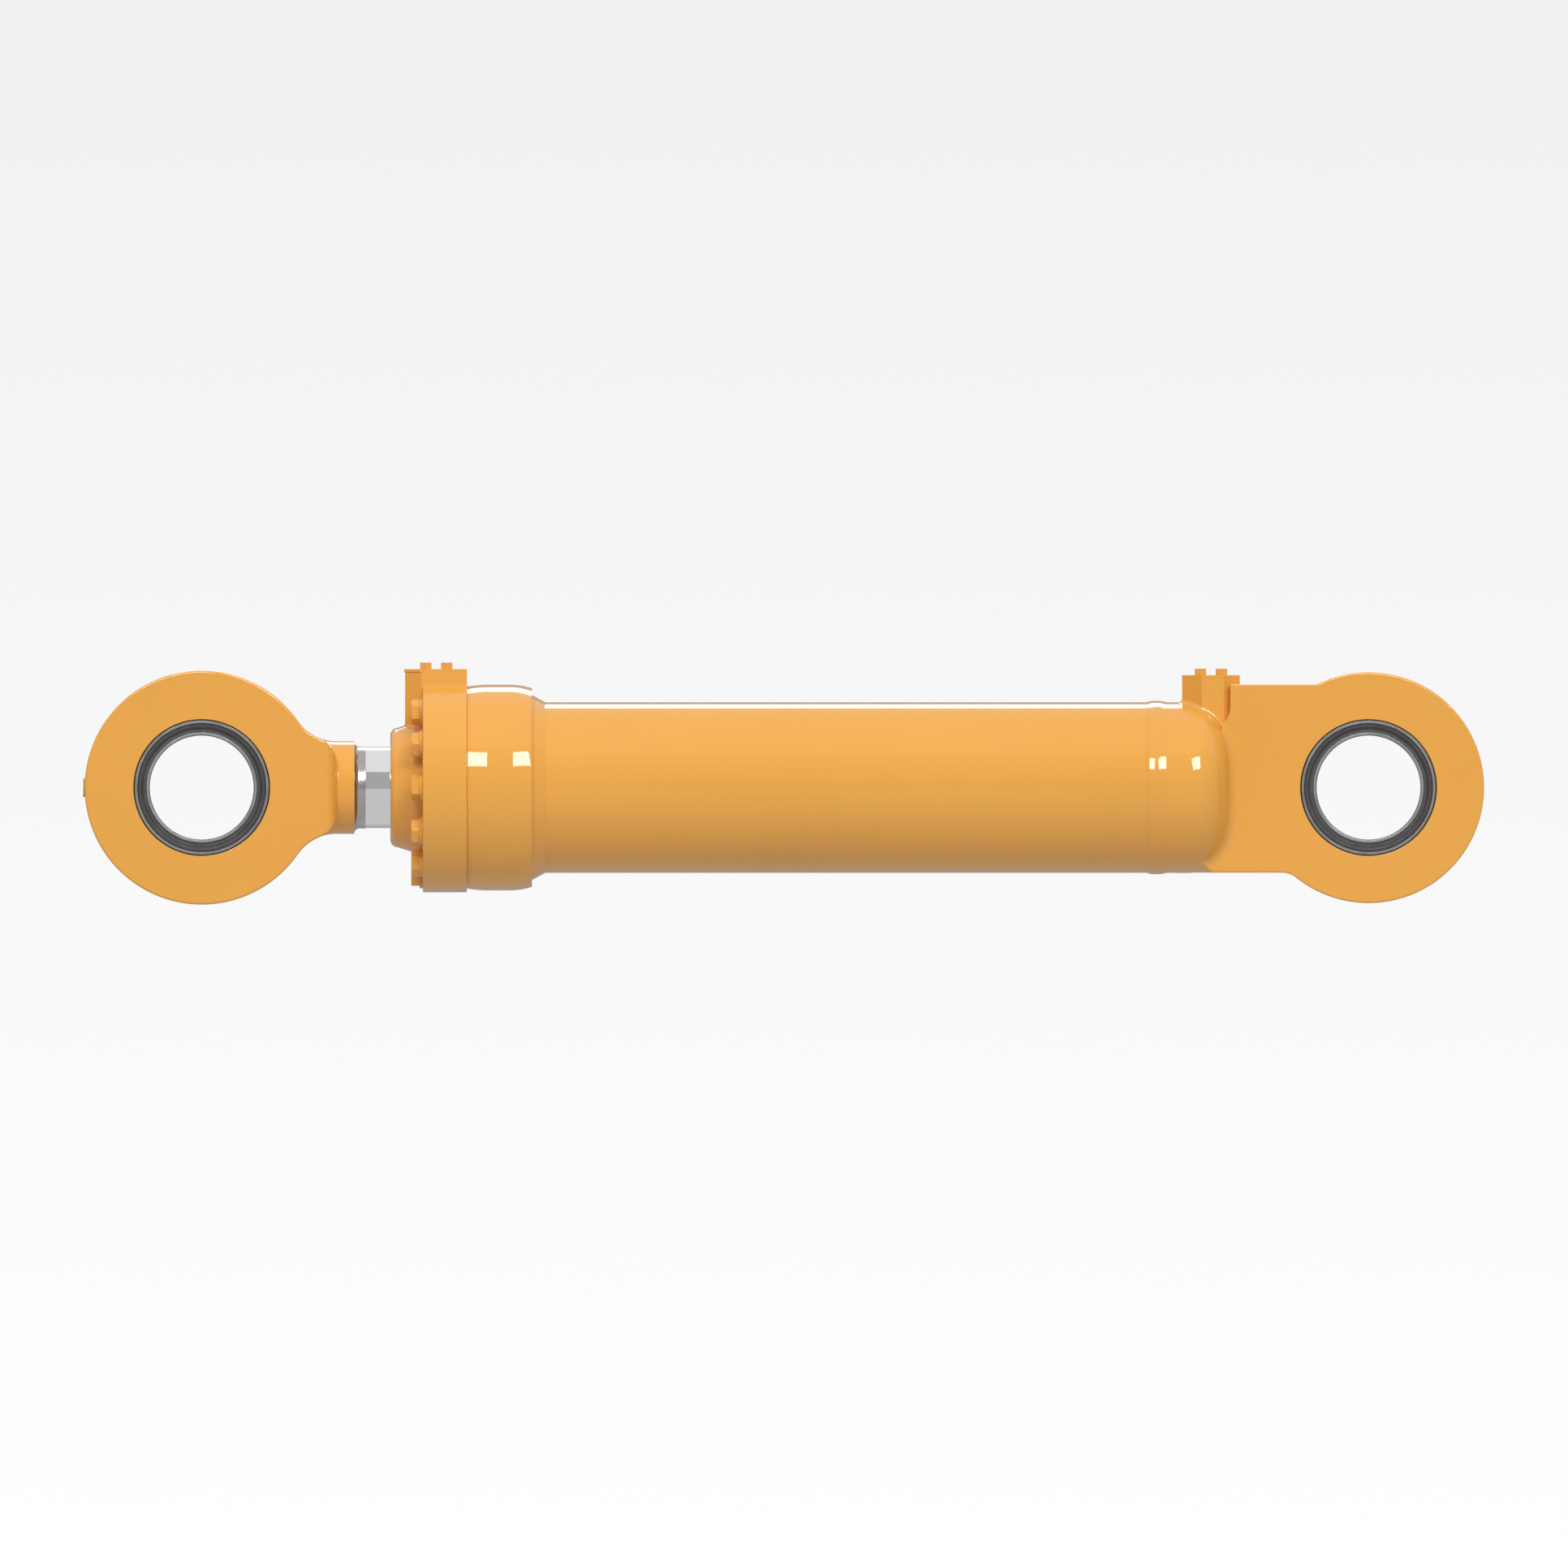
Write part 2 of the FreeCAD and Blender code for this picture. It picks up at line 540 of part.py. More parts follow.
# ---------------------------------------------------------------- piston group
def piston():
    ring_floor = BORE_R - WEAR_RING_DEPTH - 2 * SEAT
    seal_floor = BORE_R - PISTON_SEAL_FLOOR
    groove = WEAR_RING_WIDTH / 2 + GROOVE_PLAY
    seal_groove = PISTON_SEAL_WIDTH / 2 + GROOVE_PLAY
    edge_r = PISTON_R - PISTON_CHAMFER
    seat_r = PISTON_SEAT_R + SEAT
    return turned([(PISTON_FRONT_X + SEAT, seat_r), (PISTON_FRONT_X + SEAT, edge_r),
                   (PISTON_FRONT_X + PISTON_CHAMFER, PISTON_R),
                   (WEAR_FRONT_X - groove, PISTON_R), (WEAR_FRONT_X - groove, ring_floor),
                   (WEAR_FRONT_X + groove, ring_floor), (WEAR_FRONT_X + groove, PISTON_R),
                   (PISTON_SEAL_X - seal_groove, PISTON_R),
                   (PISTON_SEAL_X - seal_groove, seal_floor),
                   (PISTON_SEAL_X + seal_groove, seal_floor),
                   (PISTON_SEAL_X + seal_groove, PISTON_R),
                   (WEAR_REAR_X - groove, PISTON_R), (WEAR_REAR_X - groove, ring_floor),
                   (WEAR_REAR_X + groove, ring_floor), (WEAR_REAR_X + groove, PISTON_R),
                   (PISTON_REAR_X - PISTON_CHAMFER, PISTON_R), (PISTON_REAR_X, edge_r),
                   (PISTON_REAR_X, seat_r), (PISTON_RING_REAR_X, seat_r),
                   (PISTON_RING_REAR_X, PISTON_RING_FLOOR_R),
                   (PISTON_RING_FRONT_X, PISTON_RING_FLOOR_R), (PISTON_RING_FRONT_X, seat_r)])


def wear_ring(centre_x):
    """Split guide ring with a slanted gap on top."""
    half = WEAR_RING_WIDTH / 2
    ring = ring_along_x(centre_x - half, centre_x + half, BORE_R - WEAR_RING_DEPTH, BORE_R - FIT)
    gap = Part.makeBox(3 * WEAR_RING_WIDTH, 2.0, 20.0,
                       FreeCAD.Vector(-1.5 * WEAR_RING_WIDTH, -1.0, BORE_R - 15.0))
    gap.rotate(ORIGIN, AXIS_Z, 30)
    gap.translate(FreeCAD.Vector(centre_x, 0, 0))
    return ring.cut(gap)


def piston_nut():
    start = PISTON_REAR_X + PISTON_WASHER_THICK + SEAT
    nut = hexagon(NUT_FLATS, NUT_HEIGHT)
    crown = Part.makeCone(0.65 * NUT_FLATS, NUT_FLATS / 2 + 3.0, NUT_HEIGHT)
    nut = nut.common(crown).cut(Part.makeCylinder(ROD_THREAD_R + DRILL_EXTRA, NUT_HEIGHT))
    nut.rotate(ORIGIN, AXIS_Y, 90)
    nut.translate(FreeCAD.Vector(start, 0, 0))
    return nut.cut(rod_along_z(start + NUT_HEIGHT / 2, 0, ROD_THREAD_R - 8.0, NUT_FLATS,
                               SET_SCREW_R + DRILL_EXTRA))


def nut_set_screw():
    screw_x = PISTON_REAR_X + PISTON_WASHER_THICK + SEAT + NUT_HEIGHT / 2
    screw = rod_along_z(screw_x, 0, ROD_THREAD_R + 0.3, ROD_THREAD_R + 12.0, SET_SCREW_R)
    socket = hexagon(SET_SCREW_R, 6.0)
    socket.translate(FreeCAD.Vector(screw_x, 0, ROD_THREAD_R + 7.0))
    return screw.cut(socket)


# ---------------------------------------------------------------- barrel side
def barrel_tube():
    start = COLLAR_END_X + WELD_ROOT_GAP
    end = BASE_JOINT_X - WELD_ROOT_GAP
    root_r = BORE_R + WELD_ROOT_RISE
    return turned([(start, BORE_R), (start, root_r), (start + WELD_BEVEL_LENGTH, TUBE_R),
                   (end - WELD_BEVEL_LENGTH, TUBE_R), (end, root_r), (end, BORE_R)])


def bolt_collar():
    """Crowned ring the head bolts into; its bore continues the tube bore."""
    root_r = BORE_R + WELD_ROOT_RISE
    land_end = COLLAR_END_X + WELD_ROOT_GAP - SEAT
    collar = turned([(FLANGE_REAR_X, BORE_R), (FLANGE_REAR_X, COLLAR_FRONT_R),
                     (-1115.5, 128.1, -1103.0, COLLAR_CROWN_R), (-1070.6, COLLAR_CROWN_R),
                     (-1058.5, 127.3, COLLAR_END_X, COLLAR_REAR_R),
                     (COLLAR_END_X, root_r), (land_end, root_r), (land_end, BORE_R)])
    hole_end = FLANGE_REAR_X + HEAD_BOLT_REACH + HEAD_BOLT_RUNOUT
    for y, z in head_bolt_places():
        collar = collar.cut(rod_along_x(FLANGE_REAR_X - OVERCUT, hole_end,
                                        HEAD_BOLT_R + DRILL_EXTRA, y, z))
    return collar


def collar_weld():
    """Fillet weld filling the groove behind the collar, dressed to a plain cone."""
    start = COLLAR_END_X + PRESS_GAP
    root = COLLAR_END_X + WELD_ROOT_GAP
    root_r = BORE_R + WELD_ROOT_RISE + 2 * SEAT
    skin_r = TUBE_R + PRESS_GAP
    return turned([(start, root_r), (start, COLLAR_WELD_R), (COLLAR_WELD_END_X, COLLAR_WELD_END_R),
                   (COLLAR_WELD_END_X, skin_r), (root + WELD_BEVEL_LENGTH, skin_r), (root, root_r)])


def base_weld():
    """Butt weld between tube and base, with a low crown."""
    root_head = BASE_JOINT_X - WELD_ROOT_GAP + SEAT
    root_base = BASE_JOINT_X - SEAT
    root_r = BORE_R + WELD_ROOT_RISE + 2 * SEAT
    skin_r = TUBE_R + PRESS_GAP
    toe_r = TUBE_R + 0.2
    return turned([(root_head, root_r), (root_head - WELD_BEVEL_LENGTH, skin_r),
                   (BASE_WELD_START_X, skin_r), (BASE_WELD_START_X, toe_r),
                   (-274.0, 107.9, -268.5, BASE_WELD_CROWN_R),
                   (-262.0, BASE_WELD_CROWN_R, BASE_WELD_END_X, toe_r),
                   (BASE_WELD_END_X, skin_r), (root_base + WELD_BEVEL_LENGTH, skin_r),
                   (root_base, root_r)])


def head_bolt_places():
    """Bolt centres (y, z); the port block takes the place at the very top."""
    places = []
    for index in range(HEAD_BOLT_POSITIONS):
        angle = 2 * math.pi * index / HEAD_BOLT_POSITIONS
        if index != HEAD_BOLT_POSITIONS // 4:
            places.append((HEAD_BOLT_CIRCLE_R * math.cos(angle), HEAD_BOLT_CIRCLE_R * math.sin(angle)))
    return places


def head_bolts():
    bolts = []
    seat = FLANGE_FRONT_X - HEAD_WASHER_THICK
    reach = FLANGE_REAR_X + HEAD_BOLT_REACH - seat
    for y, z in head_bolt_places():
        head = hexagon(HEAD_BOLT_FLATS, HEAD_BOLT_HEAD)
        crown = Part.makeCone(HEAD_BOLT_FLATS / 2 + 9.0, HEAD_BOLT_FLATS / 2, HEAD_BOLT_HEAD)
        head = head.common(crown)
        shank = Part.makeCylinder(HEAD_BOLT_R, reach, FreeCAD.Vector(0, 0, -reach))
        shank = shank.makeChamfer(HEAD_BOLT_END_CHAMFER, edges_where(shank, lambda middle, edge: (
            middle.z < EDGE_MATCH - reach)))
        bolt = head.fuse(shank).removeSplitter()
        bolt.rotate(ORIGIN, AXIS_Y, -90)
        bolt.rotate(ORIGIN, AXIS_X, math.degrees(math.atan2(z, y)) + 90)
        bolt.translate(FreeCAD.Vector(seat, y, z))
        bolts.append(bolt)
    return Part.makeCompound(bolts)


def head_bolt_washers():
    washers = []
    front = FLANGE_FRONT_X - HEAD_WASHER_THICK
    for y, z in head_bolt_places():
        outer = rod_along_x(front, FLANGE_FRONT_X, HEAD_WASHER_R, y, z)
        inner = rod_along_x(front, FLANGE_FRONT_X, HEAD_BOLT_R + WASHER_HOLE_EXTRA, y, z)
        washers.append(outer.cut(inner))
    return Part.makeCompound(washers)


def head_block_face(level):
    shoulder_x = HEAD_BLOCK_FRONT_X + HEAD_BLOCK_CORNER
    corner_y = HEAD_BLOCK_HALF_Y - HEAD_BLOCK_CORNER
    return outline([(HEAD_BLOCK_FRONT_X, -corner_y), (shoulder_x, -HEAD_BLOCK_HALF_Y),
                    (FLANGE_REAR_X, -HEAD_BLOCK_HALF_Y), (FLANGE_REAR_X, HEAD_BLOCK_HALF_Y),
                    (shoulder_x, HEAD_BLOCK_HALF_Y), (HEAD_BLOCK_FRONT_X, corner_y)],
                   plan_point, level)


def head_cover_face(level):
    front_x = HEAD_BLOCK_FRONT_X - HEAD_COVER_OVERHANG
    shoulder_x = front_x + HEAD_BLOCK_CORNER
    corner_y = HEAD_BLOCK_HALF_Y - HEAD_BLOCK_CORNER
    return outline([(front_x, -corner_y), (shoulder_x, -HEAD_BLOCK_HALF_Y),
                    (FLANGE_REAR_X, -HEAD_BLOCK_HALF_Y), (FLANGE_REAR_X, HEAD_BLOCK_HALF_Y),
                    (shoulder_x, HEAD_BLOCK_HALF_Y), (front_x, corner_y)],
                   plan_point, level)


def head_gland():
    """Bolted head: conical nose, flange, spigot in the tube, port block and rod seal grooves."""
    slant = NOSE_ROUND_R * (1 - math.sqrt(0.5))
    rear_x = FLANGE_REAR_X - SEAT
    spigot_r = BORE_R - SEAT
    body = turned([(HEAD_FRONT_X, 0.0), (HEAD_FRONT_X, NOSE_R - NOSE_ROUND_R),
                   (HEAD_FRONT_X + slant, NOSE_R - slant, HEAD_FRONT_X + NOSE_ROUND_R, NOSE_R + 0.6),
                   (FLANGE_FRONT_X, NOSE_FOOT_R), (FLANGE_FRONT_X, FLANGE_R - 1.0),
                   (FLANGE_FRONT_X + 1.0, FLANGE_R), (FLANGE_REAR_X - 0.6, FLANGE_R),
                   (rear_x, FLANGE_R - 0.6), (rear_x, spigot_r),
                   (SPIGOT_END_X - 3.0, spigot_r), (SPIGOT_END_X, BORE_R - 2.5),
                   (SPIGOT_END_X, 0.0)])
    block = head_block_face(HEAD_BLOCK_ROOT_Z)
    block = block.extrude(FreeCAD.Vector(0, 0, HEAD_BLOCK_TOP_Z - HEAD_BLOCK_ROOT_Z))
    head = body.fuse(block).removeSplitter()
    head = head.makeFillet(BLOCK_FOOT_R, edges_where(head, lambda middle, edge: (
        middle.x < FLANGE_FRONT_X - 2 and middle.z > HEAD_BLOCK_ROOT_Z
        and abs(middle.y) < HEAD_BLOCK_HALF_Y + 1
        and NOSE_R < math.hypot(middle.y, middle.z) < NOSE_FOOT_R and edge.Length > 5)))
    head = head.makeFillet(BLOCK_FLANGE_R, edges_where(head, lambda middle, edge: (
        FLANGE_FRONT_X < middle.x < FLANGE_REAR_X
        and abs(abs(middle.y) - HEAD_BLOCK_HALF_Y) < EDGE_MATCH
        and abs(math.hypot(middle.y, middle.z) - FLANGE_R) < EDGE_MATCH)))
    bore = rod_along_x(HEAD_FRONT_X - OVERCUT, SPIGOT_END_X + OVERCUT, ROD_R + HEAD_BORE_EXTRA)
    cuts = []
    for first, last, radius in (WIPER_GROOVE, U_CUP_GROOVE, BUFFER_GROOVE, GUIDE_GROOVE):
        cuts.append(rod_along_x(first, last, radius))
    first, last, radius = HEAD_RING_GROOVE
    cuts.append(ring_along_x(first, last, radius, BORE_R + OVERCUT))
    cuts.append(rod_along_z(HEAD_PORT_X, 0, HEAD_PASSAGE_Z - HEAD_PORT_RUNOUT,
                            HEAD_BLOCK_TOP_Z + OVERCUT, PORT_HOLE_R))
    cuts.append(rod_along_x(HEAD_PORT_X, SPIGOT_END_X + OVERCUT, HEAD_PASSAGE_R, 0, HEAD_PASSAGE_Z))
    cuts.append(port_cuts(HEAD_PORT_X, HEAD_BLOCK_TOP_Z))
    for y, z in head_bolt_places():
        cuts.append(rod_along_x(FLANGE_FRONT_X - OVERCUT, FLANGE_REAR_X + OVERCUT,
                                HEAD_BOLT_R + HEAD_BOLT_HOLE_EXTRA, y, z))
    head = head.cut(bore)
    for cut in cuts:
        head = head.cut(cut)
    return head


def base_block_face(level):
    corner_head = BASE_BLOCK_CORNER_HEAD
    corner_eye = BASE_BLOCK_CORNER_EYE
    return outline([(BASE_BLOCK_HEAD_X, -BASE_BLOCK_HALF_Y + corner_head),
                    (BASE_BLOCK_HEAD_X + corner_head, -BASE_BLOCK_HALF_Y),
                    (BASE_BLOCK_EYE_X - corner_eye, -BASE_BLOCK_HALF_Y),
                    (BASE_BLOCK_EYE_X, -BASE_BLOCK_HALF_Y + corner_eye),
                    (BASE_BLOCK_EYE_X, BASE_BLOCK_HALF_Y - corner_eye),
                    (BASE_BLOCK_EYE_X - corner_eye, BASE_BLOCK_HALF_Y),
                    (BASE_BLOCK_HEAD_X + corner_head, BASE_BLOCK_HALF_Y),
                    (BASE_BLOCK_HEAD_X, BASE_BLOCK_HALF_Y - corner_head)],
                   plan_point, level)


def base_dome():
    """Solid domed end of the barrel, turned about the cylinder axis."""
    dome_x = DOME_END_X - DOME_CORNER_R
    dome_r = TUBE_R - DOME_CORNER_R
    slant = DOME_CORNER_R * math.sqrt(0.5)
    return turned([(BASE_JOINT_X, 0.0), (BASE_JOINT_X, BORE_R + WELD_ROOT_RISE),
                   (BASE_JOINT_X + WELD_BEVEL_LENGTH, TUBE_R), (dome_x, TUBE_R),
                   (dome_x + slant, dome_r + slant, DOME_END_X, dome_r), (DOME_END_X, 0.0)])


def lug_body():
    """Dome and lug, blended along their seam and trimmed to the side outline."""
    dome = base_dome()
    dome_x = DOME_END_X - DOME_CORNER_R
    slab = Part.makeBox(2 * BEYOND, 2 * BASE_EYE_HALF, 2 * BEYOND,
                        FreeCAD.Vector(dome_x - 20.0, -BASE_EYE_HALF, -BEYOND))
    body = dome.fuse(slab).removeSplitter()
    body = body.makeFillet(LUG_SEAM_R, edges_where(body, lambda middle, edge: (
        abs(abs(middle.y) - BASE_EYE_HALF) < EDGE_MATCH
        and abs(middle.z) < 100 and middle.x < DOME_END_X + 1)))
    blend_z = LUG_BOTTOM_Z - LUG_BLEND_R
    blend_x = -math.sqrt((BASE_EYE_R + LUG_BLEND_R) ** 2 - blend_z ** 2)
    rim_share = BASE_EYE_R / (BASE_EYE_R + LUG_BLEND_R)
    rim_x = blend_x * rim_share
    rim_z = blend_z * rim_share
    half_turn = (math.atan2(rim_z - blend_z, rim_x - blend_x) + math.pi / 2) / 2
    mid_x = blend_x + LUG_BLEND_R * math.cos(half_turn)
    mid_z = blend_z + LUG_BLEND_R * math.sin(half_turn)
    top_x = -math.sqrt(BASE_EYE_R ** 2 - LUG_TOP_Z ** 2)
    proud = TUBE_R + 0.2
    side = outline([(BASE_JOINT_X - 5.0, -proud), (dome_x, -proud), (dome_x, LUG_BOTTOM_Z),
                    (blend_x, LUG_BOTTOM_Z), (mid_x, mid_z, rim_x, rim_z),
                    (BASE_EYE_R, 0.0, top_x, LUG_TOP_Z), (BASE_JOINT_X - 5.0, LUG_TOP_Z)],
                   side_point, -BEYOND)
    body = body.common(side.extrude(FreeCAD.Vector(0, 2 * BEYOND, 0)))
    above = outline([(BASE_JOINT_X - 6.0, LUG_TOP_Z + 1.0), (LUG_TOP_START_X, LUG_TOP_Z + 1.0),
                     (LUG_TOP_START_X, 100.0), (-175.6, 89.0, -181.5, 80.0), (-187.0, 62.0),
                     (BASE_JOINT_X - 6.0, 50.0)], side_point, -BEYOND)
    body = body.cut(above.extrude(FreeCAD.Vector(0, 2 * BEYOND, 0)).cut(dome))
    envelope = turned([(BASE_JOINT_X - 4.0, 0.0), (BASE_JOINT_X - 4.0, proud),
                       (dome_x + 14.0, proud), (DOME_END_X - 12.0, 118.0),
                       (DOME_END_X + 25.0, 230.0), (300.0, 230.0), (300.0, 0.0)])
    body = body.common(envelope)
    return body.makeFillet(LUG_EDGE_R, edges_where(body, lambda middle, edge: (
        abs(abs(middle.y) - BASE_EYE_HALF) < EDGE_MATCH
        and (middle.x > top_x + 1 or middle.z < -100 or middle.z > LUG_TOP_Z - 1))))


def port_block_body():
    """Base port block with the blend around its foot on the dome."""
    corner_head = BASE_BLOCK_HALF_Y - BASE_BLOCK_CORNER_HEAD
    shoulder_x = BASE_BLOCK_HEAD_X + BASE_BLOCK_CORNER_HEAD
    tall = outline([(BASE_BLOCK_HEAD_X, -corner_head), (shoulder_x, -BASE_BLOCK_HALF_Y),
                    (BEYOND, -BASE_BLOCK_HALF_Y), (BEYOND, BASE_BLOCK_HALF_Y),
                    (shoulder_x, BASE_BLOCK_HALF_Y), (BASE_BLOCK_HEAD_X, corner_head)], plan_point)
    body = base_dome().fuse(tall.extrude(FreeCAD.Vector(0, 0, BASE_BLOCK_TOP_Z)))
    body = body.removeSplitter()
    body = body.makeFillet(BASE_BLOCK_SEAM_R, edges_where(body, lambda middle, edge: (
        BASE_BLOCK_HEAD_X - EDGE_MATCH < middle.x < DOME_END_X + 1
        and 1 < middle.z < TUBE_R + 0.1
        and (abs(abs(middle.y) - BASE_BLOCK_HALF_Y) < EDGE_MATCH or middle.x < shoulder_x)
        and abs(middle.y) < BASE_BLOCK_HALF_Y + EDGE_MATCH
        and (middle.x > DOME_END_X - 1 or not is_upright(edge)))))
    wide = BASE_BLOCK_SEAM_R + 0.5
    reach = BASE_BLOCK_HALF_Y + wide
    corner_eye = BASE_BLOCK_HALF_Y - BASE_BLOCK_CORNER_EYE
    corner_x = BASE_BLOCK_EYE_X - BASE_BLOCK_CORNER_EYE - wide
    keep = outline([(BASE_BLOCK_HEAD_X - wide, -reach), (corner_x, -reach),
                    (BASE_BLOCK_EYE_X, -corner_eye), (BASE_BLOCK_EYE_X, corner_eye),
                    (corner_x, reach), (BASE_BLOCK_HEAD_X - wide, reach)],
                   plan_point, BASE_BLOCK_ROOT_Z)
    return body.common(keep.extrude(FreeCAD.Vector(0, 0, BASE_BLOCK_TOP_Z)))


def base_end():
    """Domed base with lug, eye, port block and inner cavity."""
    body = lug_body().fuse(port_block_body()).removeSplitter()
    mouth_x = BASE_JOINT_X - OVERCUT
    cavity = turned([(mouth_x, 0.0), (mouth_x, CAVITY_R), (CAVITY_END_X - CAVITY_CHAMFER, CAVITY_R),
                     (CAVITY_END_X, CAVITY_R - CAVITY_CHAMFER), (CAVITY_END_X, 0.0)])
    body = body.cut(cavity)
    body = body.cut(rod_along_z(BASE_PORT_X, 0, BASE_PASSAGE_Z - BASE_PORT_RUNOUT,
                                BASE_BLOCK_TOP_Z + OVERCUT, PORT_HOLE_R))
    body = body.cut(rod_along_x(CAVITY_END_X - OVERCUT, BASE_PORT_X, PORT_HOLE_R, 0, BASE_PASSAGE_Z))
    body = body.cut(port_cuts(BASE_PORT_X, BASE_BLOCK_TOP_Z))
    body = body.cut(eye_cuts(0.0, BASE_EYE_HALF))
    body = pocket_chamfers(body, BASE_EYE_HALF)
    return body.cut(grease_cuts(BASE_EYE_R, 1, GREASE_RECESS_DEPTH, 0.0))


# ---------------------------------------------------------------- seals and guides of the head
def head_o_ring():
    first, last, floor = HEAD_RING_GROOVE
    centre_x = first + HEAD_BACKUP_THICK + 3.5
    centre_r = (floor + BORE_R) / 2
    ring = Part.makeTorus(centre_r, 3.2, FreeCAD.Vector(centre_x, 0, 0), AXIS_X)
    return ring.common(ring_along_x(first, last, floor + PRESS_GAP, BORE_R - PRESS_GAP))


def head_backup_ring():
    first, last, floor = HEAD_RING_GROOVE
    return ring_along_x(first + SEAT, first + HEAD_BACKUP_THICK, floor + PRESS_GAP,
                        BORE_R - SEAT - 0.01)


def gland_bushing():
    first, last, floor = GUIDE_GROOVE
    return turned([(first + 0.1, floor - 0.02), (first + 0.1, ROD_R + 1.0),
                   (first + 2.0, ROD_R + FIT), (last - 2.0, ROD_R + FIT),
                   (last - 0.1, ROD_R + 1.0), (last - 0.1, floor - 0.02)])


def rod_buffer_seal():
    first, last, floor = BUFFER_GROOVE
    inner = ROD_R + FIT
    return turned([(first + 0.1, floor - 0.02), (first + 0.1, inner + 1.0),
                   (first + 1.0, inner), (last - 2.0, inner), (last - 0.1, inner + 1.6),
                   (last - 0.1, floor - 0.02)])


def rod_u_cup():
    """U-shaped rod seal; its lips open towards the oil."""
    first, last, floor = U_CUP_GROOVE
    inner = ROD_R + FIT
    middle = (inner + floor) / 2
    start = first + ROD_BACKUP_THICK + 2 * SEAT
    return turned([(start, floor - 0.4), (start, inner + 0.4), (last - 2.5, inner),
                   (last - 0.3, inner + 0.8), (last - 0.3, middle - 1.2), (last - 5.5, middle),
                   (last - 0.3, middle + 1.2), (last - 0.3, floor - 0.5), (last - 2.5, floor - 0.02)])


def rod_backup_ring():
    first, last, floor = U_CUP_GROOVE
    return ring_along_x(first + SEAT, first + ROD_BACKUP_THICK, ROD_R + FIT + SEAT,
                        floor - PRESS_GAP)


def rod_wiper():
    """Wiper with its scraping lip facing outwards at the nose."""
    first, last, floor = WIPER_GROOVE
    inner = ROD_R + FIT
    return turned([(first + 0.8, floor - 0.02), (first + 0.8, inner + 3.4), (first + 0.3, inner + 0.9),
                   (first + 0.9, inner), (first + 3.0, inner + 1.2), (last - 3.0, inner + 1.2),
                   (last - 1.5, inner), (last - 0.1, inner + 0.8), (last - 0.1, floor - 0.02)])


def piston_seal_ring():
    half = PISTON_SEAL_WIDTH / 2
    return turned([(PISTON_SEAL_X - half, BORE_R - 4.4), (PISTON_SEAL_X - half, BORE_R - 0.6),
                   (PISTON_SEAL_X - half + 0.6, BORE_R - FIT),
                   (PISTON_SEAL_X + half - 0.6, BORE_R - FIT),
                   (PISTON_SEAL_X + half, BORE_R - 0.6), (PISTON_SEAL_X + half, BORE_R - 4.4)])


def piston_seal_expander():
    half = PISTON_SEAL_WIDTH / 2 - 1.5
    return turned([(PISTON_SEAL_X - half, BORE_R - 8.2), (PISTON_SEAL_X - half, BORE_R - 5.2),
                   (PISTON_SEAL_X - half + 0.8, BORE_R - 4.42),
                   (PISTON_SEAL_X + half - 0.8, BORE_R - 4.42),
                   (PISTON_SEAL_X + half, BORE_R - 5.2), (PISTON_SEAL_X + half, BORE_R - 8.2),
                   (PISTON_SEAL_X + half - 0.8, BORE_R - 8.88),
                   (PISTON_SEAL_X - half + 0.8, BORE_R - 8.88)])


def piston_o_ring():
    centre_x = (PISTON_RING_FRONT_X + PISTON_RING_REAR_X) / 2
    centre_r = (PISTON_SEAT_R + PISTON_RING_FLOOR_R) / 2
    ring = Part.makeTorus(centre_r, 2.6, FreeCAD.Vector(centre_x, 0, 0), AXIS_X)
    return ring.common(ring_along_x(PISTON_RING_FRONT_X, PISTON_RING_REAR_X,
                                    PISTON_SEAT_R + PRESS_GAP, PISTON_RING_FLOOR_R - PRESS_GAP))


def piston_washer():
    return ring_along_x(PISTON_REAR_X + PRESS_GAP, PISTON_REAR_X + PISTON_WASHER_THICK, 40.2, 60.0)


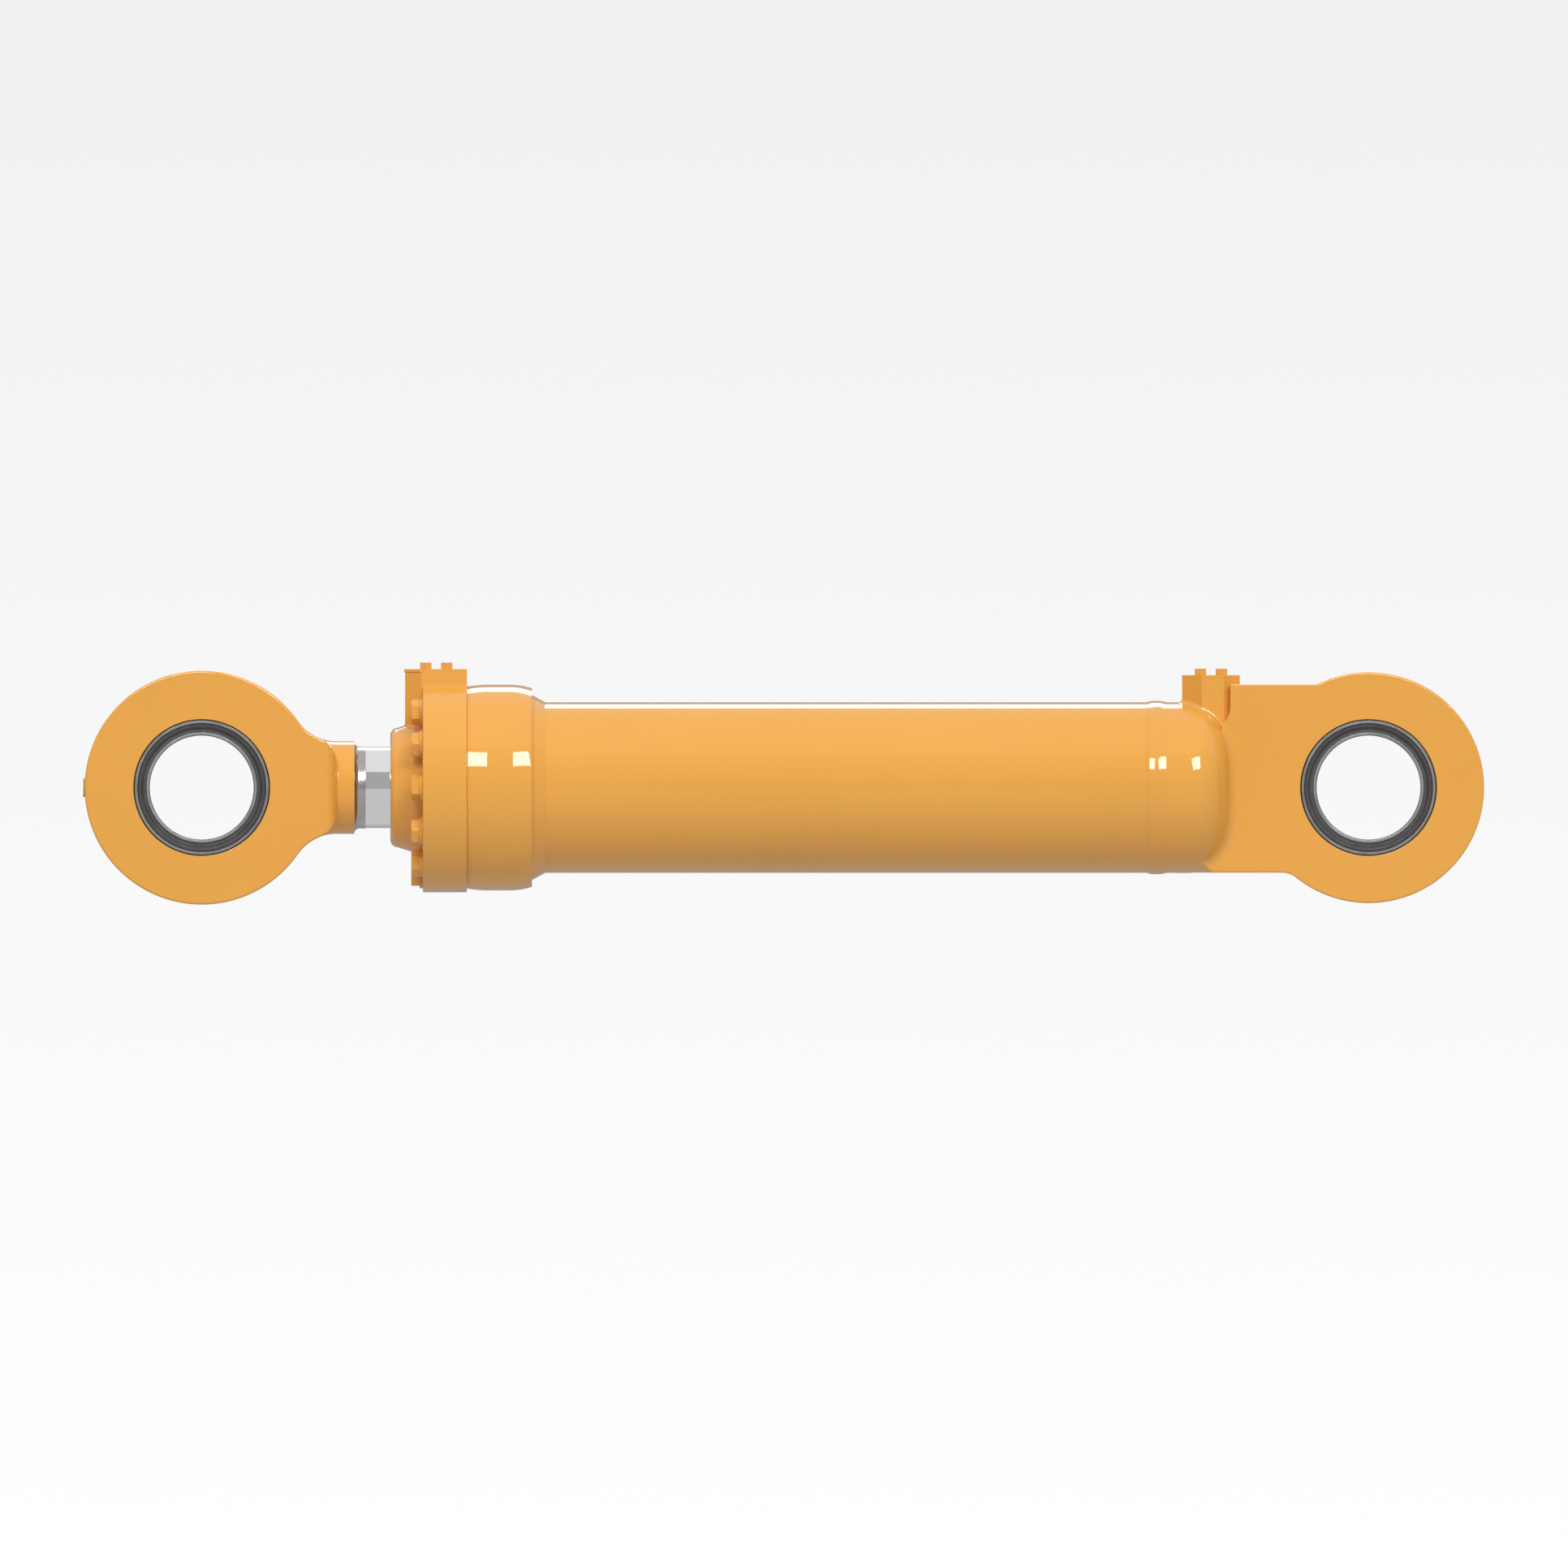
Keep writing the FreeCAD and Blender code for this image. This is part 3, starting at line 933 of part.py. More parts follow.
# ---------------------------------------------------------------- write the nodes
def nodes():
    rod_eye_face = -CLOSED_LENGTH - ROD_EYE_R - EYE_BOSS_PROUD
    built = {
        "barrel_tube": barrel_tube(),
        "bolt_collar": bolt_collar(),
        "collar_weld": collar_weld(),
        "base_weld": base_weld(),
        "base_end": base_end(),
        "base_pin_bushing": pin_bushing(0.0, BASE_EYE_HALF, 1),
        "base_grease_fitting": grease_fitting(BASE_EYE_R, 1, GREASE_RECESS_DEPTH),
        "base_port_cover": port_cover(base_block_face(BASE_BLOCK_TOP_Z), BASE_PORT_X,
                                      BASE_BLOCK_TOP_Z),
        "base_port_o_ring": port_ring(BASE_PORT_X, BASE_BLOCK_TOP_Z),
        "base_port_bolts": port_bolts(BASE_PORT_X, BASE_BLOCK_TOP_Z),
        "head_gland": head_gland(),
        "head_bolts": head_bolts(),
        "head_bolt_washers": head_bolt_washers(),
        "head_o_ring": head_o_ring(),
        "head_backup_ring": head_backup_ring(),
        "gland_bushing": gland_bushing(),
        "rod_buffer_seal": rod_buffer_seal(),
        "rod_u_cup": rod_u_cup(),
        "rod_backup_ring": rod_backup_ring(),
        "rod_wiper": rod_wiper(),
        "head_port_cover": port_cover(head_cover_face(HEAD_BLOCK_TOP_Z), HEAD_PORT_X,
                                      HEAD_BLOCK_TOP_Z),
        "head_port_o_ring": port_ring(HEAD_PORT_X, HEAD_BLOCK_TOP_Z),
        "head_port_bolts": port_bolts(HEAD_PORT_X, HEAD_BLOCK_TOP_Z),
        "piston_wear_ring_front": wear_ring(WEAR_FRONT_X),
        "piston_wear_ring_rear": wear_ring(WEAR_REAR_X),
        "piston_seal_ring": piston_seal_ring(),
        "piston_seal_expander": piston_seal_expander(),
        "rod_eye": rod_eye(),
        "rod_weld_collar": rod_weld_collar(),
        "piston_rod": piston_rod(),
        "rod_pin_bushing": pin_bushing(-CLOSED_LENGTH, ROD_EYE_HALF, -1),
        "rod_grease_fitting": grease_fitting(rod_eye_face, -1, GREASE_RECESS_DEPTH),
        "piston": piston(),
        "piston_o_ring": piston_o_ring(),
        "piston_washer": piston_washer(),
        "piston_nut": piston_nut(),
        "nut_set_screw": nut_set_screw(),
    }
    for eye, pin_x, half in (("base", 0.0, BASE_EYE_HALF), ("rod", -CLOSED_LENGTH, ROD_EYE_HALF)):
        for side_name, side in (("front", -1), ("back", 1)):
            case, lip = pin_seal(pin_x, half, side)
            built[eye + "_seal_case_" + side_name] = case
            built[eye + "_seal_lip_" + side_name] = lip
    return built


os.makedirs("parts", exist_ok=True)
for node_name, node_shape in nodes().items():
    save(node_name, node_shape)
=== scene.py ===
"""Looks of a double-acting hydraulic cylinder: amber paint, hard chrome, machined steel and seals."""
import bpy
import math
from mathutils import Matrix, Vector


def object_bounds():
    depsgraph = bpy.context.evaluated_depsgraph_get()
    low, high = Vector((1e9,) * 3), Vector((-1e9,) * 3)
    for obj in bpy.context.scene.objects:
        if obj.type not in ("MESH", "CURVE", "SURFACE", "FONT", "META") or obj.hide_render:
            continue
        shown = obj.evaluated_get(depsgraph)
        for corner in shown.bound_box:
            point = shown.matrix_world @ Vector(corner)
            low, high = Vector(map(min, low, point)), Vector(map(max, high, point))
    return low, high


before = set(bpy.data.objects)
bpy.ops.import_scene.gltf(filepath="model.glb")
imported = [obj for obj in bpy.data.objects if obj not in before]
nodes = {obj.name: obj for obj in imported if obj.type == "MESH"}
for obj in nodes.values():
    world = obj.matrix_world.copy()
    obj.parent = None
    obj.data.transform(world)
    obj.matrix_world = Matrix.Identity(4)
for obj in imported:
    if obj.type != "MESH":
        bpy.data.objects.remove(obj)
cad_box = [list(corner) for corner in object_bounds()]

# linear colours
AMBER = ((0.826, 0.387, 0.065), (0.851, 0.403, 0.071))         # enamel, darker and lighter clouds
AMBER_PATCH = (0.802, 0.371, 0.062)
AMBER_WELD = ((0.818, 0.381, 0.064), (0.846, 0.399, 0.070))
PRIMER = (0.500, 0.200, 0.035)                                 # shows where an edge is rubbed
# painted shade for the rims of the seal pockets
POCKET_PAINTED_SHADE = (0.075, 0.045, 0.020)
# painted shade for the gap outside a seal case
GAP_PAINTED_SHADE = (0.040, 0.028, 0.018)
CHROME = ((0.945, 0.950, 0.955), (0.965, 0.970, 0.975))
FLARE_STEEL = (0.60, 0.59, 0.58)
BORED_STEEL = (0.40, 0.40, 0.41)
CASE_STEEL = (0.30, 0.30, 0.305)
PLATED_STEEL = (0.58, 0.56, 0.50)
INNER_STEEL = (0.50, 0.50, 0.51)
IRON = (0.22, 0.22, 0.225)
BRONZE = (0.62, 0.42, 0.20)
LIP_GREY = ((0.060, 0.059, 0.058), (0.074, 0.073, 0.072))
LOADING_RED = (0.045, 0.026, 0.025)
# painted shade at the inner edge of a seal case, in the dark red of the seal rubber
GROOVE_SHADE_RED = (0.026, 0.013, 0.013)
BLACK_RUBBER = (0.014, 0.014, 0.015)
BEARING_PLASTIC = (0.30, 0.22, 0.12)
FLOOR_GREY = ((0.71, 0.71, 0.71), (0.73, 0.73, 0.73))

# sizes in metres, on the object
BASE_PIN_X = 0.0
ROD_PIN_X = -1.460
LOADING_RING_R = 0.0781        # where the reddish ring starts on the seal lip
CASE_BARE_FROM_R = 0.0806      # the seal case shows bare steel between these radii; painted shade darkens it inside and outside them
CASE_BARE_TO_R = 0.0840
POCKET_SHADE_R = 0.0857        # outer rim of the pocket that holds a seal; inside it the enamel carries painted shade
RIM_BLUR = 0.0002
LIP_BLUR = 0.0004
POCKET_BLUR = 0.0005
ENAMEL_EDGE_R = 0.0008         # painted edges look rounded by this much
STEEL_EDGE_R = 0.0005
SOFT_EDGE_R = 0.0003
WEAR_EDGE_R = 0.0022

# grain of the surfaces: scales of the noises and how they are used
CLOUD_SCALE = 2.2
PATCH_SCALE = 11.0
CHIP_SCALE = 190.0
PEEL_SCALE = 420.0
CAST_PEEL_SCALE = 260.0
BOLT_PEEL_SCALE = 700.0
RIPPLE_SHARE = 0.22            # the long wave of the orange peel against the short one
SPECK_SCALE = 600.0
FINE_SCALE = 900.0
WELD_RIPPLES = 150.0           # the sine's radians per radian round the tube
NOISE_SPREAD = (0.3, 0.7)      # where most of a noise lies
CLOUD = (CLOUD_SCALE, 4.0, 0.55)            # noise scale, detail and roughness
TUBE_WEAR = 0.35               # how strongly rubbed edges show
CAST_WEAR = 0.45
BOLT_WEAR = 0.6
# how dark the painted shade round the seal pockets is
POCKET_SHADE_STRENGTH = 0.8

# relief of the surfaces: height in metres and strength
ENAMEL_BUMP = (0.00006, 0.06)
WELD_BUMP = (0.0001, 0.18)
CHROME_BUMP = (0.000002, 0.08)
STEEL_BUMP = (0.00006, 0.45)
SOFT_BUMP = (0.00003, 0.4)
LIP_BUMP = (0.00003, 0.12)
BEVEL_SAMPLES = 6

# gloss
ENAMEL_SPECULAR = 0.12
ENAMEL_COAT = 0.85
ENAMEL_COAT_ROUGHNESS = 0.03
WELD_ROUGHNESS = 0.10
WELD_COAT_ROUGHNESS = 0.04
RUBBER_SPECULAR = 0.45
LIP_SPECULAR = 0.8
CASE_ROUGHNESS = (0.34, 0.46)
MARKS_ALONG_PIN = (40.0, 900.0, 40.0)       # tool marks that run round the pin

# picture and studio
VIEW_WIDTH = 1.962             # width of the picture at the object
VIEW_CENTRE = (-0.7314, 0.0045)
CAMERA_Y = -6.0
CAMERA_FAR = 60.0
FLOOR_HALF = 40.0
WALL_Y = 6.0
WALL_HALF = 3.0
WALL_FADE = (1.1, 2.8)         # the backdrop fades to the air between these distances from its middle
WALL_FOOT_GLOW = 1.0
WALL_TOP_GLOW = 0.871
AIR_SEEN = 0.94                # brightness of the studio where nothing stands
GROUND_LIGHT = 0.64
GROUND_BEHIND = 0.44           # mirrored far behind the object, only at grazing angles
GROUND_BOUNCE = 0.95           # soft light that the ground behind throws up at the underside
MIRROR_GAIN = 1.07             # how much brighter the studio is in a mirror image
BAND_LIGHT = 0.44              # the dim walls at the height of the object
BAND_TOP = 0.42                # sine of the height where they end, beside and behind the object
BAND_TOP_AHEAD = 0.29          # how much higher they end in front of it
BAND_BLUR = 0.02
AHEAD_FROM = -0.35             # Y of a direction: in front of the object below this
HORIZON = (-0.09, -0.03)       # the ground meets the studio between these heights
BEHIND_MIRRORED = (0.5, 0.95)  # Y of a direction: the ground turns into the one behind
BEHIND_BOUNCED = (0.0, 0.4)
SKY_LIGHT = 0.88
LAMP_DISTANCE = 60.0
GLINT_DISTANCE = 54.0
PANEL_LEFT = (-14.2, 32.0, 19.5, 16.0)      # azimuth, elevation, width and height in degrees
PANEL_RIGHT = (21.0, 32.0, 22.0, 16.0)
PANEL_BACK = (177.0, 35.2, 24.0, 14.4)
FRONT_RADIANCE = 10.4
BACK_RADIANCE = 5.0
GLINT_RADIANCE = 4.5


# ---------------------------------------------------------------- node graph helper
class Graph:
    """A material's node tree with short calls for the nodes used here."""

    def __init__(self, name):
        self.material = bpy.data.materials.new(name)
        self.material.use_nodes = True
        self.tree = self.material.node_tree
        self.shader = self.tree.nodes["Principled BSDF"]
        self.object_point = self.add("ShaderNodeTexCoord").outputs["Object"]

    @classmethod
    def over(cls, tree):
        """The same calls over a tree made elsewhere, which has no shader of its own here."""
        graph = cls.__new__(cls)
        graph.tree = tree
        graph.object_point = graph.add("ShaderNodeTexCoord").outputs["Object"]
        return graph

    def add(self, kind, **values):
        node = self.tree.nodes.new(kind)
        for key, value in values.items():
            setattr(node, key, value)
        return node

    def link(self, source, target):
        self.tree.links.new(source, target)

    def put(self, socket, value):
        """Link an output to the socket, or set the socket to a plain value."""
        if hasattr(value, "is_output"):
            self.link(value, socket)
        else:
            socket.default_value = value

    def set(self, **sockets):
        for name, value in sockets.items():
            self.put(self.shader.inputs[name.replace("_", " ")], value)

    def math(self, operation, first, second=0.0, clamp=False):
        node = self.add("ShaderNodeMath", operation=operation, use_clamp=clamp)
        self.put(node.inputs[0], first)
        self.put(node.inputs[1], second)
        return node.outputs[0]

    def blend(self, factor, first, second):
        """first where the factor is 0, second where it is 1."""
        step = self.math("MULTIPLY", factor, self.math("SUBTRACT", second, first))
        return self.math("ADD", first, step)

    def axes(self, vector):
        node = self.add("ShaderNodeSeparateXYZ")
        self.link(vector, node.inputs[0])
        return node.outputs

    def noise(self, scale, detail, roughness, point=None):
        node = self.add("ShaderNodeTexNoise")
        self.link(point or self.object_point, node.inputs["Vector"])
        node.inputs["Scale"].default_value = scale
        node.inputs["Detail"].default_value = detail
        node.inputs["Roughness"].default_value = roughness
        return node.outputs["Fac"]

    def stretched(self, factors):
        """The object's points, scaled by a factor along each axis."""
        node = self.add("ShaderNodeMapping")
        self.link(self.object_point, node.inputs["Vector"])
        node.inputs["Scale"].default_value = factors
        return node.outputs["Vector"]

    def reach_from_pin(self, pin_x):
        """Distance of the point from the axis of the pin at pin_x."""
        x, _, height = self.axes(self.object_point)
        along = self.math("SUBTRACT", x, pin_x)
        along_squared = self.math("MULTIPLY", along, along)
        height_squared = self.math("MULTIPLY", height, height)
        return self.math("SQRT", self.math("ADD", along_squared, height_squared))

    def ramp(self, factor, low, high, start=0.0, end=1.0):
        """Factor from start..end mapped smoothly to low..high."""
        node = self.add("ShaderNodeMapRange", interpolation_type="SMOOTHSTEP")
        self.put(node.inputs["Value"], factor)
        node.inputs["From Min"].default_value = start
        node.inputs["From Max"].default_value = end
        node.inputs["To Min"].default_value = low
        node.inputs["To Max"].default_value = high
        return node.outputs[0]

    def step(self, value, at, blur, low=0.0, high=1.0):
        """low below the place at and high above it, blurred by that much either way."""
        return self.ramp(value, low, high, at - blur, at + blur)

    def mix(self, factor, first, second):
        node = self.add("ShaderNodeMix", data_type="RGBA", blend_type="MIX")
        self.put(node.inputs[0], factor)
        self.put(node.inputs[6], first)      # sockets 6, 7 and output 2 are the colour ones
        self.put(node.inputs[7], second)
        return node.outputs[2]

    def clouded(self, factor, shades):
        """From the first shade to the second one as the factor crosses a noise's spread."""
        first, second = shades
        return self.mix(self.ramp(factor, 0.0, 1.0, *NOISE_SPREAD), colour(*first), colour(*second))

    def rounded(self, radius):
        """A normal that rounds the edges off by that radius."""
        node = self.add("ShaderNodeBevel", samples=BEVEL_SAMPLES)
        node.inputs["Radius"].default_value = radius
        return node.outputs[0]

    def edges(self, radius):
        """1 on sharp convex and concave edges, 0 on flat ground."""
        geometry = self.add("ShaderNodeNewGeometry")
        dot = self.add("ShaderNodeVectorMath", operation="DOT_PRODUCT")
        self.link(self.rounded(radius), dot.inputs[0])
        self.link(geometry.outputs["Normal"], dot.inputs[1])
        return self.ramp(dot.outputs["Value"], 1.0, 0.0, 0.86, 0.995)

    def bump(self, height, distance, strength, normal=None):
        node = self.add("ShaderNodeBump")
        node.inputs["Distance"].default_value = distance
        node.inputs["Strength"].default_value = strength
        self.put(node.inputs["Height"], height)
        if normal is not None:
            self.link(normal, node.inputs["Normal"])
        return node.outputs["Normal"]


def colour(red, green, blue):
    return (red, green, blue, 1.0)


# ---------------------------------------------------------------- materials
def paint(name, peel_scale=PEEL_SCALE, wear=TUBE_WEAR):
    """Amber machinery enamel with orange peel, clouds and patches of shade, and rubbed edges."""
    g = Graph(name)
    patch = g.noise(PATCH_SCALE, 5.0, 0.6)
    base = g.clouded(g.noise(*CLOUD), AMBER)
    base = g.mix(g.ramp(patch, 0.0, 0.35, 0.45, 0.75), base, colour(*AMBER_PATCH))
    chips = g.ramp(g.noise(CHIP_SCALE, 5.0, 0.7), 0.0, 1.0, 0.56, 0.66)
    worn = g.math("MULTIPLY", g.math("MULTIPLY", g.edges(WEAR_EDGE_R), chips), wear, clamp=True)
    base = g.mix(worn, base, colour(*PRIMER))
    peel = g.noise(peel_scale, 2.0, 0.5)
    ripple = g.noise(peel_scale * RIPPLE_SHARE, 2.0, 0.5)
    height = g.math("ADD", peel, g.math("MULTIPLY", ripple, 0.8))
    normal = g.bump(height, *ENAMEL_BUMP, g.rounded(ENAMEL_EDGE_R))
    rough = g.math("ADD", g.ramp(patch, 0.06, 0.11, *NOISE_SPREAD), g.math("MULTIPLY", worn, 0.25))
    g.set(Base_Color=base, Roughness=rough, Normal=normal, Metallic=0.0, IOR=1.5,
          Specular_IOR_Level=ENAMEL_SPECULAR, Coat_Weight=ENAMEL_COAT, Coat_Roughness=ENAMEL_COAT_ROUGHNESS,
          Coat_Normal=normal)
    return g.material


def cast_paint(name):
    """The same enamel over a forged or cast skin, slightly grainy, with painted shade darkening the enamel
    round the seal pockets.
    """
    material = paint(name, CAST_PEEL_SCALE, CAST_WEAR)
    g = Graph.over(material.node_tree)
    target = material.node_tree.nodes["Principled BSDF"].inputs["Base Color"]
    enamel = target.links[0].from_socket
    reach = g.math("MINIMUM", g.reach_from_pin(BASE_PIN_X), g.reach_from_pin(ROD_PIN_X))
    # painted shade: darker enamel within the rim of each seal pocket
    pocket_shade = g.step(reach, POCKET_SHADE_R, POCKET_BLUR, POCKET_SHADE_STRENGTH, 0.0)
    g.link(g.mix(pocket_shade, enamel, colour(*POCKET_PAINTED_SHADE)), target)
    return material


def chrome(name):
    """Ground and polished hard chrome with fine lines round the rod."""
    g = Graph(name)
    rings = g.noise(1.0, 2.0, 0.5, point=g.stretched((2600.0, 9.0, 9.0)))
    first, second = CHROME
    base = g.mix(g.ramp(g.noise(6.0, 3.0, 0.5), 0.0, 1.0, 0.35, 0.65), colour(*first), colour(*second))
    rough = g.ramp(rings, 0.02, 0.035, *NOISE_SPREAD)
    g.set(Base_Color=base, Metallic=1.0, Roughness=rough, Normal=g.bump(rings, *CHROME_BUMP))
    return g.material


def turned_steel(name, tint, rough_low, rough_high, along):
    """Machined metal. along scales the tool marks, large along the feed direction."""
    g = Graph(name)
    marks = g.noise(1.0, 3.0, 0.6, point=g.stretched(along))
    dark = (tint[0] * 0.78, tint[1] * 0.78, tint[2] * 0.77)
    base = g.clouded(g.noise(24.0, 4.0, 0.6), (dark, tint))
    base = g.mix(g.ramp(marks, 0.0, 0.25, 0.4, 0.7), base, colour(*dark))
    rough = g.ramp(marks, rough_low, rough_high, *NOISE_SPREAD)
    normal = g.bump(marks, *STEEL_BUMP, g.rounded(STEEL_EDGE_R))
    g.set(Base_Color=base, Metallic=1.0, Roughness=rough, Normal=normal)
    return g.material


def elastomer(name, tint):
    """Moulded seal rubber, faintly mottled."""
    g = Graph(name)
    fine = g.noise(FINE_SCALE, 3.0, 0.6)
    broad = g.noise(40.0, 3.0, 0.5)
    lighter = colour(*(share * 1.25 + 0.002 for share in tint))
    base = g.mix(g.ramp(broad, 0.0, 0.7, 0.35, 0.7), colour(*tint), lighter)
    normal = g.bump(fine, *SOFT_BUMP, g.rounded(SOFT_EDGE_R))
    g.set(Base_Color=base, Roughness=g.ramp(broad, 0.45, 0.58), Normal=normal,
          Specular_IOR_Level=RUBBER_SPECULAR)
    return g.material


def pin_seal_rubber(name, pin_x):
    """Grey lip with its darker, reddish loading ring round the outside of the seal."""
    g = Graph(name)
    loading = g.step(g.reach_from_pin(pin_x), LOADING_RING_R, LIP_BLUR)
    broad = g.noise(60.0, 3.0, 0.5)
    base = g.mix(loading, g.clouded(broad, LIP_GREY), colour(*LOADING_RED))
    normal = g.bump(g.noise(FINE_SCALE, 3.0, 0.6), *LIP_BUMP, g.rounded(SOFT_EDGE_R))
    g.set(Base_Color=base, Roughness=g.ramp(broad, 0.24, 0.32), Normal=normal,
          Specular_IOR_Level=LIP_SPECULAR)
    return g.material


def pin_seal_case(name, pin_x):
    """Pressed steel ring, with painted shade in the dark red of the seal rubber round its inner edge and a
    dark painted shade line in the gap outside it.
    """
    material = turned_steel(name, CASE_STEEL, *CASE_ROUGHNESS, MARKS_ALONG_PIN)
    g = Graph.over(material.node_tree)
    target = material.node_tree.nodes["Principled BSDF"].inputs["Base Color"]
    steel = target.links[0].from_socket
    reach = g.reach_from_pin(pin_x)
    # painted shade: dark red inside the bare steel ring
    groove_shade = g.step(reach, CASE_BARE_FROM_R, RIM_BLUR, 1.0, 0.0)
    # painted shade: a dark line in the gap outside the ring
    gap_shade = g.step(reach, CASE_BARE_TO_R, RIM_BLUR)
    base = g.mix(groove_shade, steel, colour(*GROOVE_SHADE_RED))
    g.link(g.mix(gap_shade, base, colour(*GAP_PAINTED_SHADE)), target)
    return material


def engineering_plastic(name, tint):
    """Filled bearing plastic with dark specks."""
    g = Graph(name)
    speck = g.noise(SPECK_SCALE, 4.0, 0.7)
    darker = colour(*(share * 0.6 for share in tint))
    base = g.mix(g.ramp(speck, 0.0, 0.5, 0.5, 0.7), colour(*tint), darker)
    normal = g.bump(speck, *SOFT_BUMP, g.rounded(SOFT_EDGE_R))
    g.set(Base_Color=base, Roughness=g.ramp(g.noise(30.0, 3.0, 0.5), 0.42, 0.55), Normal=normal)
    return g.material


def weld_paint(name):
    """Enamel over a weld bead: overlapping ripples round the tube, under the same gloss."""
    g = Graph(name)
    _, side, height = g.axes(g.object_point)
    angle = g.math("ARCTAN2", side, height)
    wobble = g.math("MULTIPLY", g.noise(35.0, 2.0, 0.5), 0.05)
    ripple = g.math("SINE", g.math("MULTIPLY", g.math("ADD", angle, wobble), WELD_RIPPLES))
    grain = g.noise(500.0, 2.0, 0.5)
    relief = g.math("ADD", g.math("MULTIPLY", ripple, 0.35), g.math("MULTIPLY", grain, 0.3))
    normal = g.bump(relief, *WELD_BUMP)
    g.set(Base_Color=g.clouded(g.noise(*CLOUD), AMBER_WELD), Roughness=WELD_ROUGHNESS, Normal=normal,
          Specular_IOR_Level=ENAMEL_SPECULAR, Coat_Weight=ENAMEL_COAT, Coat_Roughness=WELD_COAT_ROUGHNESS,
          Coat_Normal=normal)
    return g.material


finishes = [
    (paint("tube_enamel"), ["barrel_tube", "bolt_collar", "head_port_cover", "base_port_cover"]),
    (cast_paint("forging_enamel"), ["rod_eye", "base_end", "head_gland"]),
    (paint("fastener_enamel", BOLT_PEEL_SCALE, BOLT_WEAR),
     ["head_bolts", "head_bolt_washers", "base_port_bolts", "head_port_bolts"]),
    (weld_paint("weld_enamel"), ["collar_weld", "base_weld"]),
    (chrome("hard_chrome"), ["piston_rod"]),
    (turned_steel("turned_flare", FLARE_STEEL, 0.16, 0.26, (1800.0, 14.0, 14.0)), ["rod_weld_collar"]),
    (turned_steel("bored_bushing", BORED_STEEL, 0.30, 0.42, (14.0, 1500.0, 14.0)),
     ["base_pin_bushing", "rod_pin_bushing"]),
    (pin_seal_case("base_case_steel", BASE_PIN_X), ["base_seal_case_front", "base_seal_case_back"]),
    (pin_seal_case("rod_case_steel", ROD_PIN_X), ["rod_seal_case_front", "rod_seal_case_back"]),
    (turned_steel("plated_fitting", PLATED_STEEL, 0.22, 0.32, (300.0, 60.0, 60.0)),
     ["base_grease_fitting", "rod_grease_fitting"]),
    (turned_steel("inner_hardware", INNER_STEEL, 0.25, 0.38, (700.0, 20.0, 20.0)),
     ["piston_washer", "piston_nut", "nut_set_screw"]),
    (turned_steel("turned_iron", IRON, 0.42, 0.55, (900.0, 18.0, 18.0)), ["piston"]),
    (turned_steel("bearing_bronze", BRONZE, 0.28, 0.40, (900.0, 18.0, 18.0)), ["gland_bushing"]),
    (pin_seal_rubber("base_lip_rubber", BASE_PIN_X), ["base_seal_lip_front", "base_seal_lip_back"]),
    (pin_seal_rubber("rod_lip_rubber", ROD_PIN_X), ["rod_seal_lip_front", "rod_seal_lip_back"]),
    (elastomer("black_rubber", BLACK_RUBBER),
     ["base_port_o_ring", "head_port_o_ring", "head_o_ring", "rod_u_cup", "rod_wiper",
      "piston_seal_expander", "piston_o_ring"]),
    (engineering_plastic("bearing_plastic", BEARING_PLASTIC),
     ["head_backup_ring", "rod_buffer_seal", "rod_backup_ring", "piston_wear_ring_front",
      "piston_wear_ring_rear", "piston_seal_ring"]),
]
covered = set()
for material, names in finishes:
    for name in names:
        piece = nodes[name]
        for slot in piece.material_slots:
            slot.material = material
        if not piece.material_slots:
            piece.data.materials.append(material)
        covered.add(name)
if covered != set(nodes):
    raise ValueError("nodes without a finish: " + ", ".join(sorted(set(nodes) - covered)))


# ---------------------------------------------------------------- floor, light and camera
low, high = (Vector(corner) for corner in cad_box)
middle = (low + high) / 2


def flat_square(name, half):
    mesh = bpy.data.meshes.new(name)
    corners = [(-half, -half, 0), (half, -half, 0), (half, half, 0), (-half, half, 0)]
    mesh.from_pydata(corners, [], [(0, 1, 2, 3)])
    square = bpy.data.objects.new(name, mesh)
    bpy.context.scene.collection.objects.link(square)
    return square


def pale_floor():
    floor = flat_square("floor", FLOOR_HALF)
    floor.location = (middle.x, middle.y, low.z)
    floor.visible_diffuse = False
    floor.visible_glossy = False
    g = Graph("pale_floor")
    g.set(Base_Color=g.clouded(g.noise(1.4, 3.0, 0.5), FLOOR_GREY), Roughness=0.8, Specular_IOR_Level=0.1)
    floor.data.materials.append(g.material)


def pale_wall():
    """Backdrop far behind, a touch brighter towards its foot, fading out to the air at its rim."""
    wall = flat_square("backdrop", WALL_HALF)
    wall.location = (VIEW_CENTRE[0], WALL_Y, VIEW_CENTRE[1])
    wall.rotation_euler = (math.radians(90.0), 0.0, 0.0)
    wall.visible_diffuse = False
    wall.visible_glossy = False
    wall.visible_shadow = False
    material = bpy.data.materials.new("pale_wall")
    material.use_nodes = True
    tree = material.node_tree
    tree.nodes.clear()
    g = Graph.over(tree)
    across, up, _ = g.axes(g.object_point)
    glow = g.add("ShaderNodeMapRange")
    g.link(up, glow.inputs["Value"])
    glow.inputs["From Min"].default_value = -VIEW_WIDTH / 2
    glow.inputs["From Max"].default_value = VIEW_WIDTH / 2
    glow.inputs["To Min"].default_value = WALL_FOOT_GLOW
    glow.inputs["To Max"].default_value = WALL_TOP_GLOW
    rim_x = g.ramp(g.math("ABSOLUTE", across), 1.0, 0.0, *WALL_FADE)
    rim_y = g.ramp(g.math("ABSOLUTE", up), 1.0, 0.0, *WALL_FADE)
    level = g.blend(g.math("MULTIPLY", rim_x, rim_y), AIR_SEEN, glow.outputs[0])
    light = g.add("ShaderNodeEmission")
    g.link(level, light.inputs["Strength"])
    end = g.add("ShaderNodeOutputMaterial")
    g.link(light.outputs[0], end.inputs["Surface"])
    wall.data.materials.append(material)


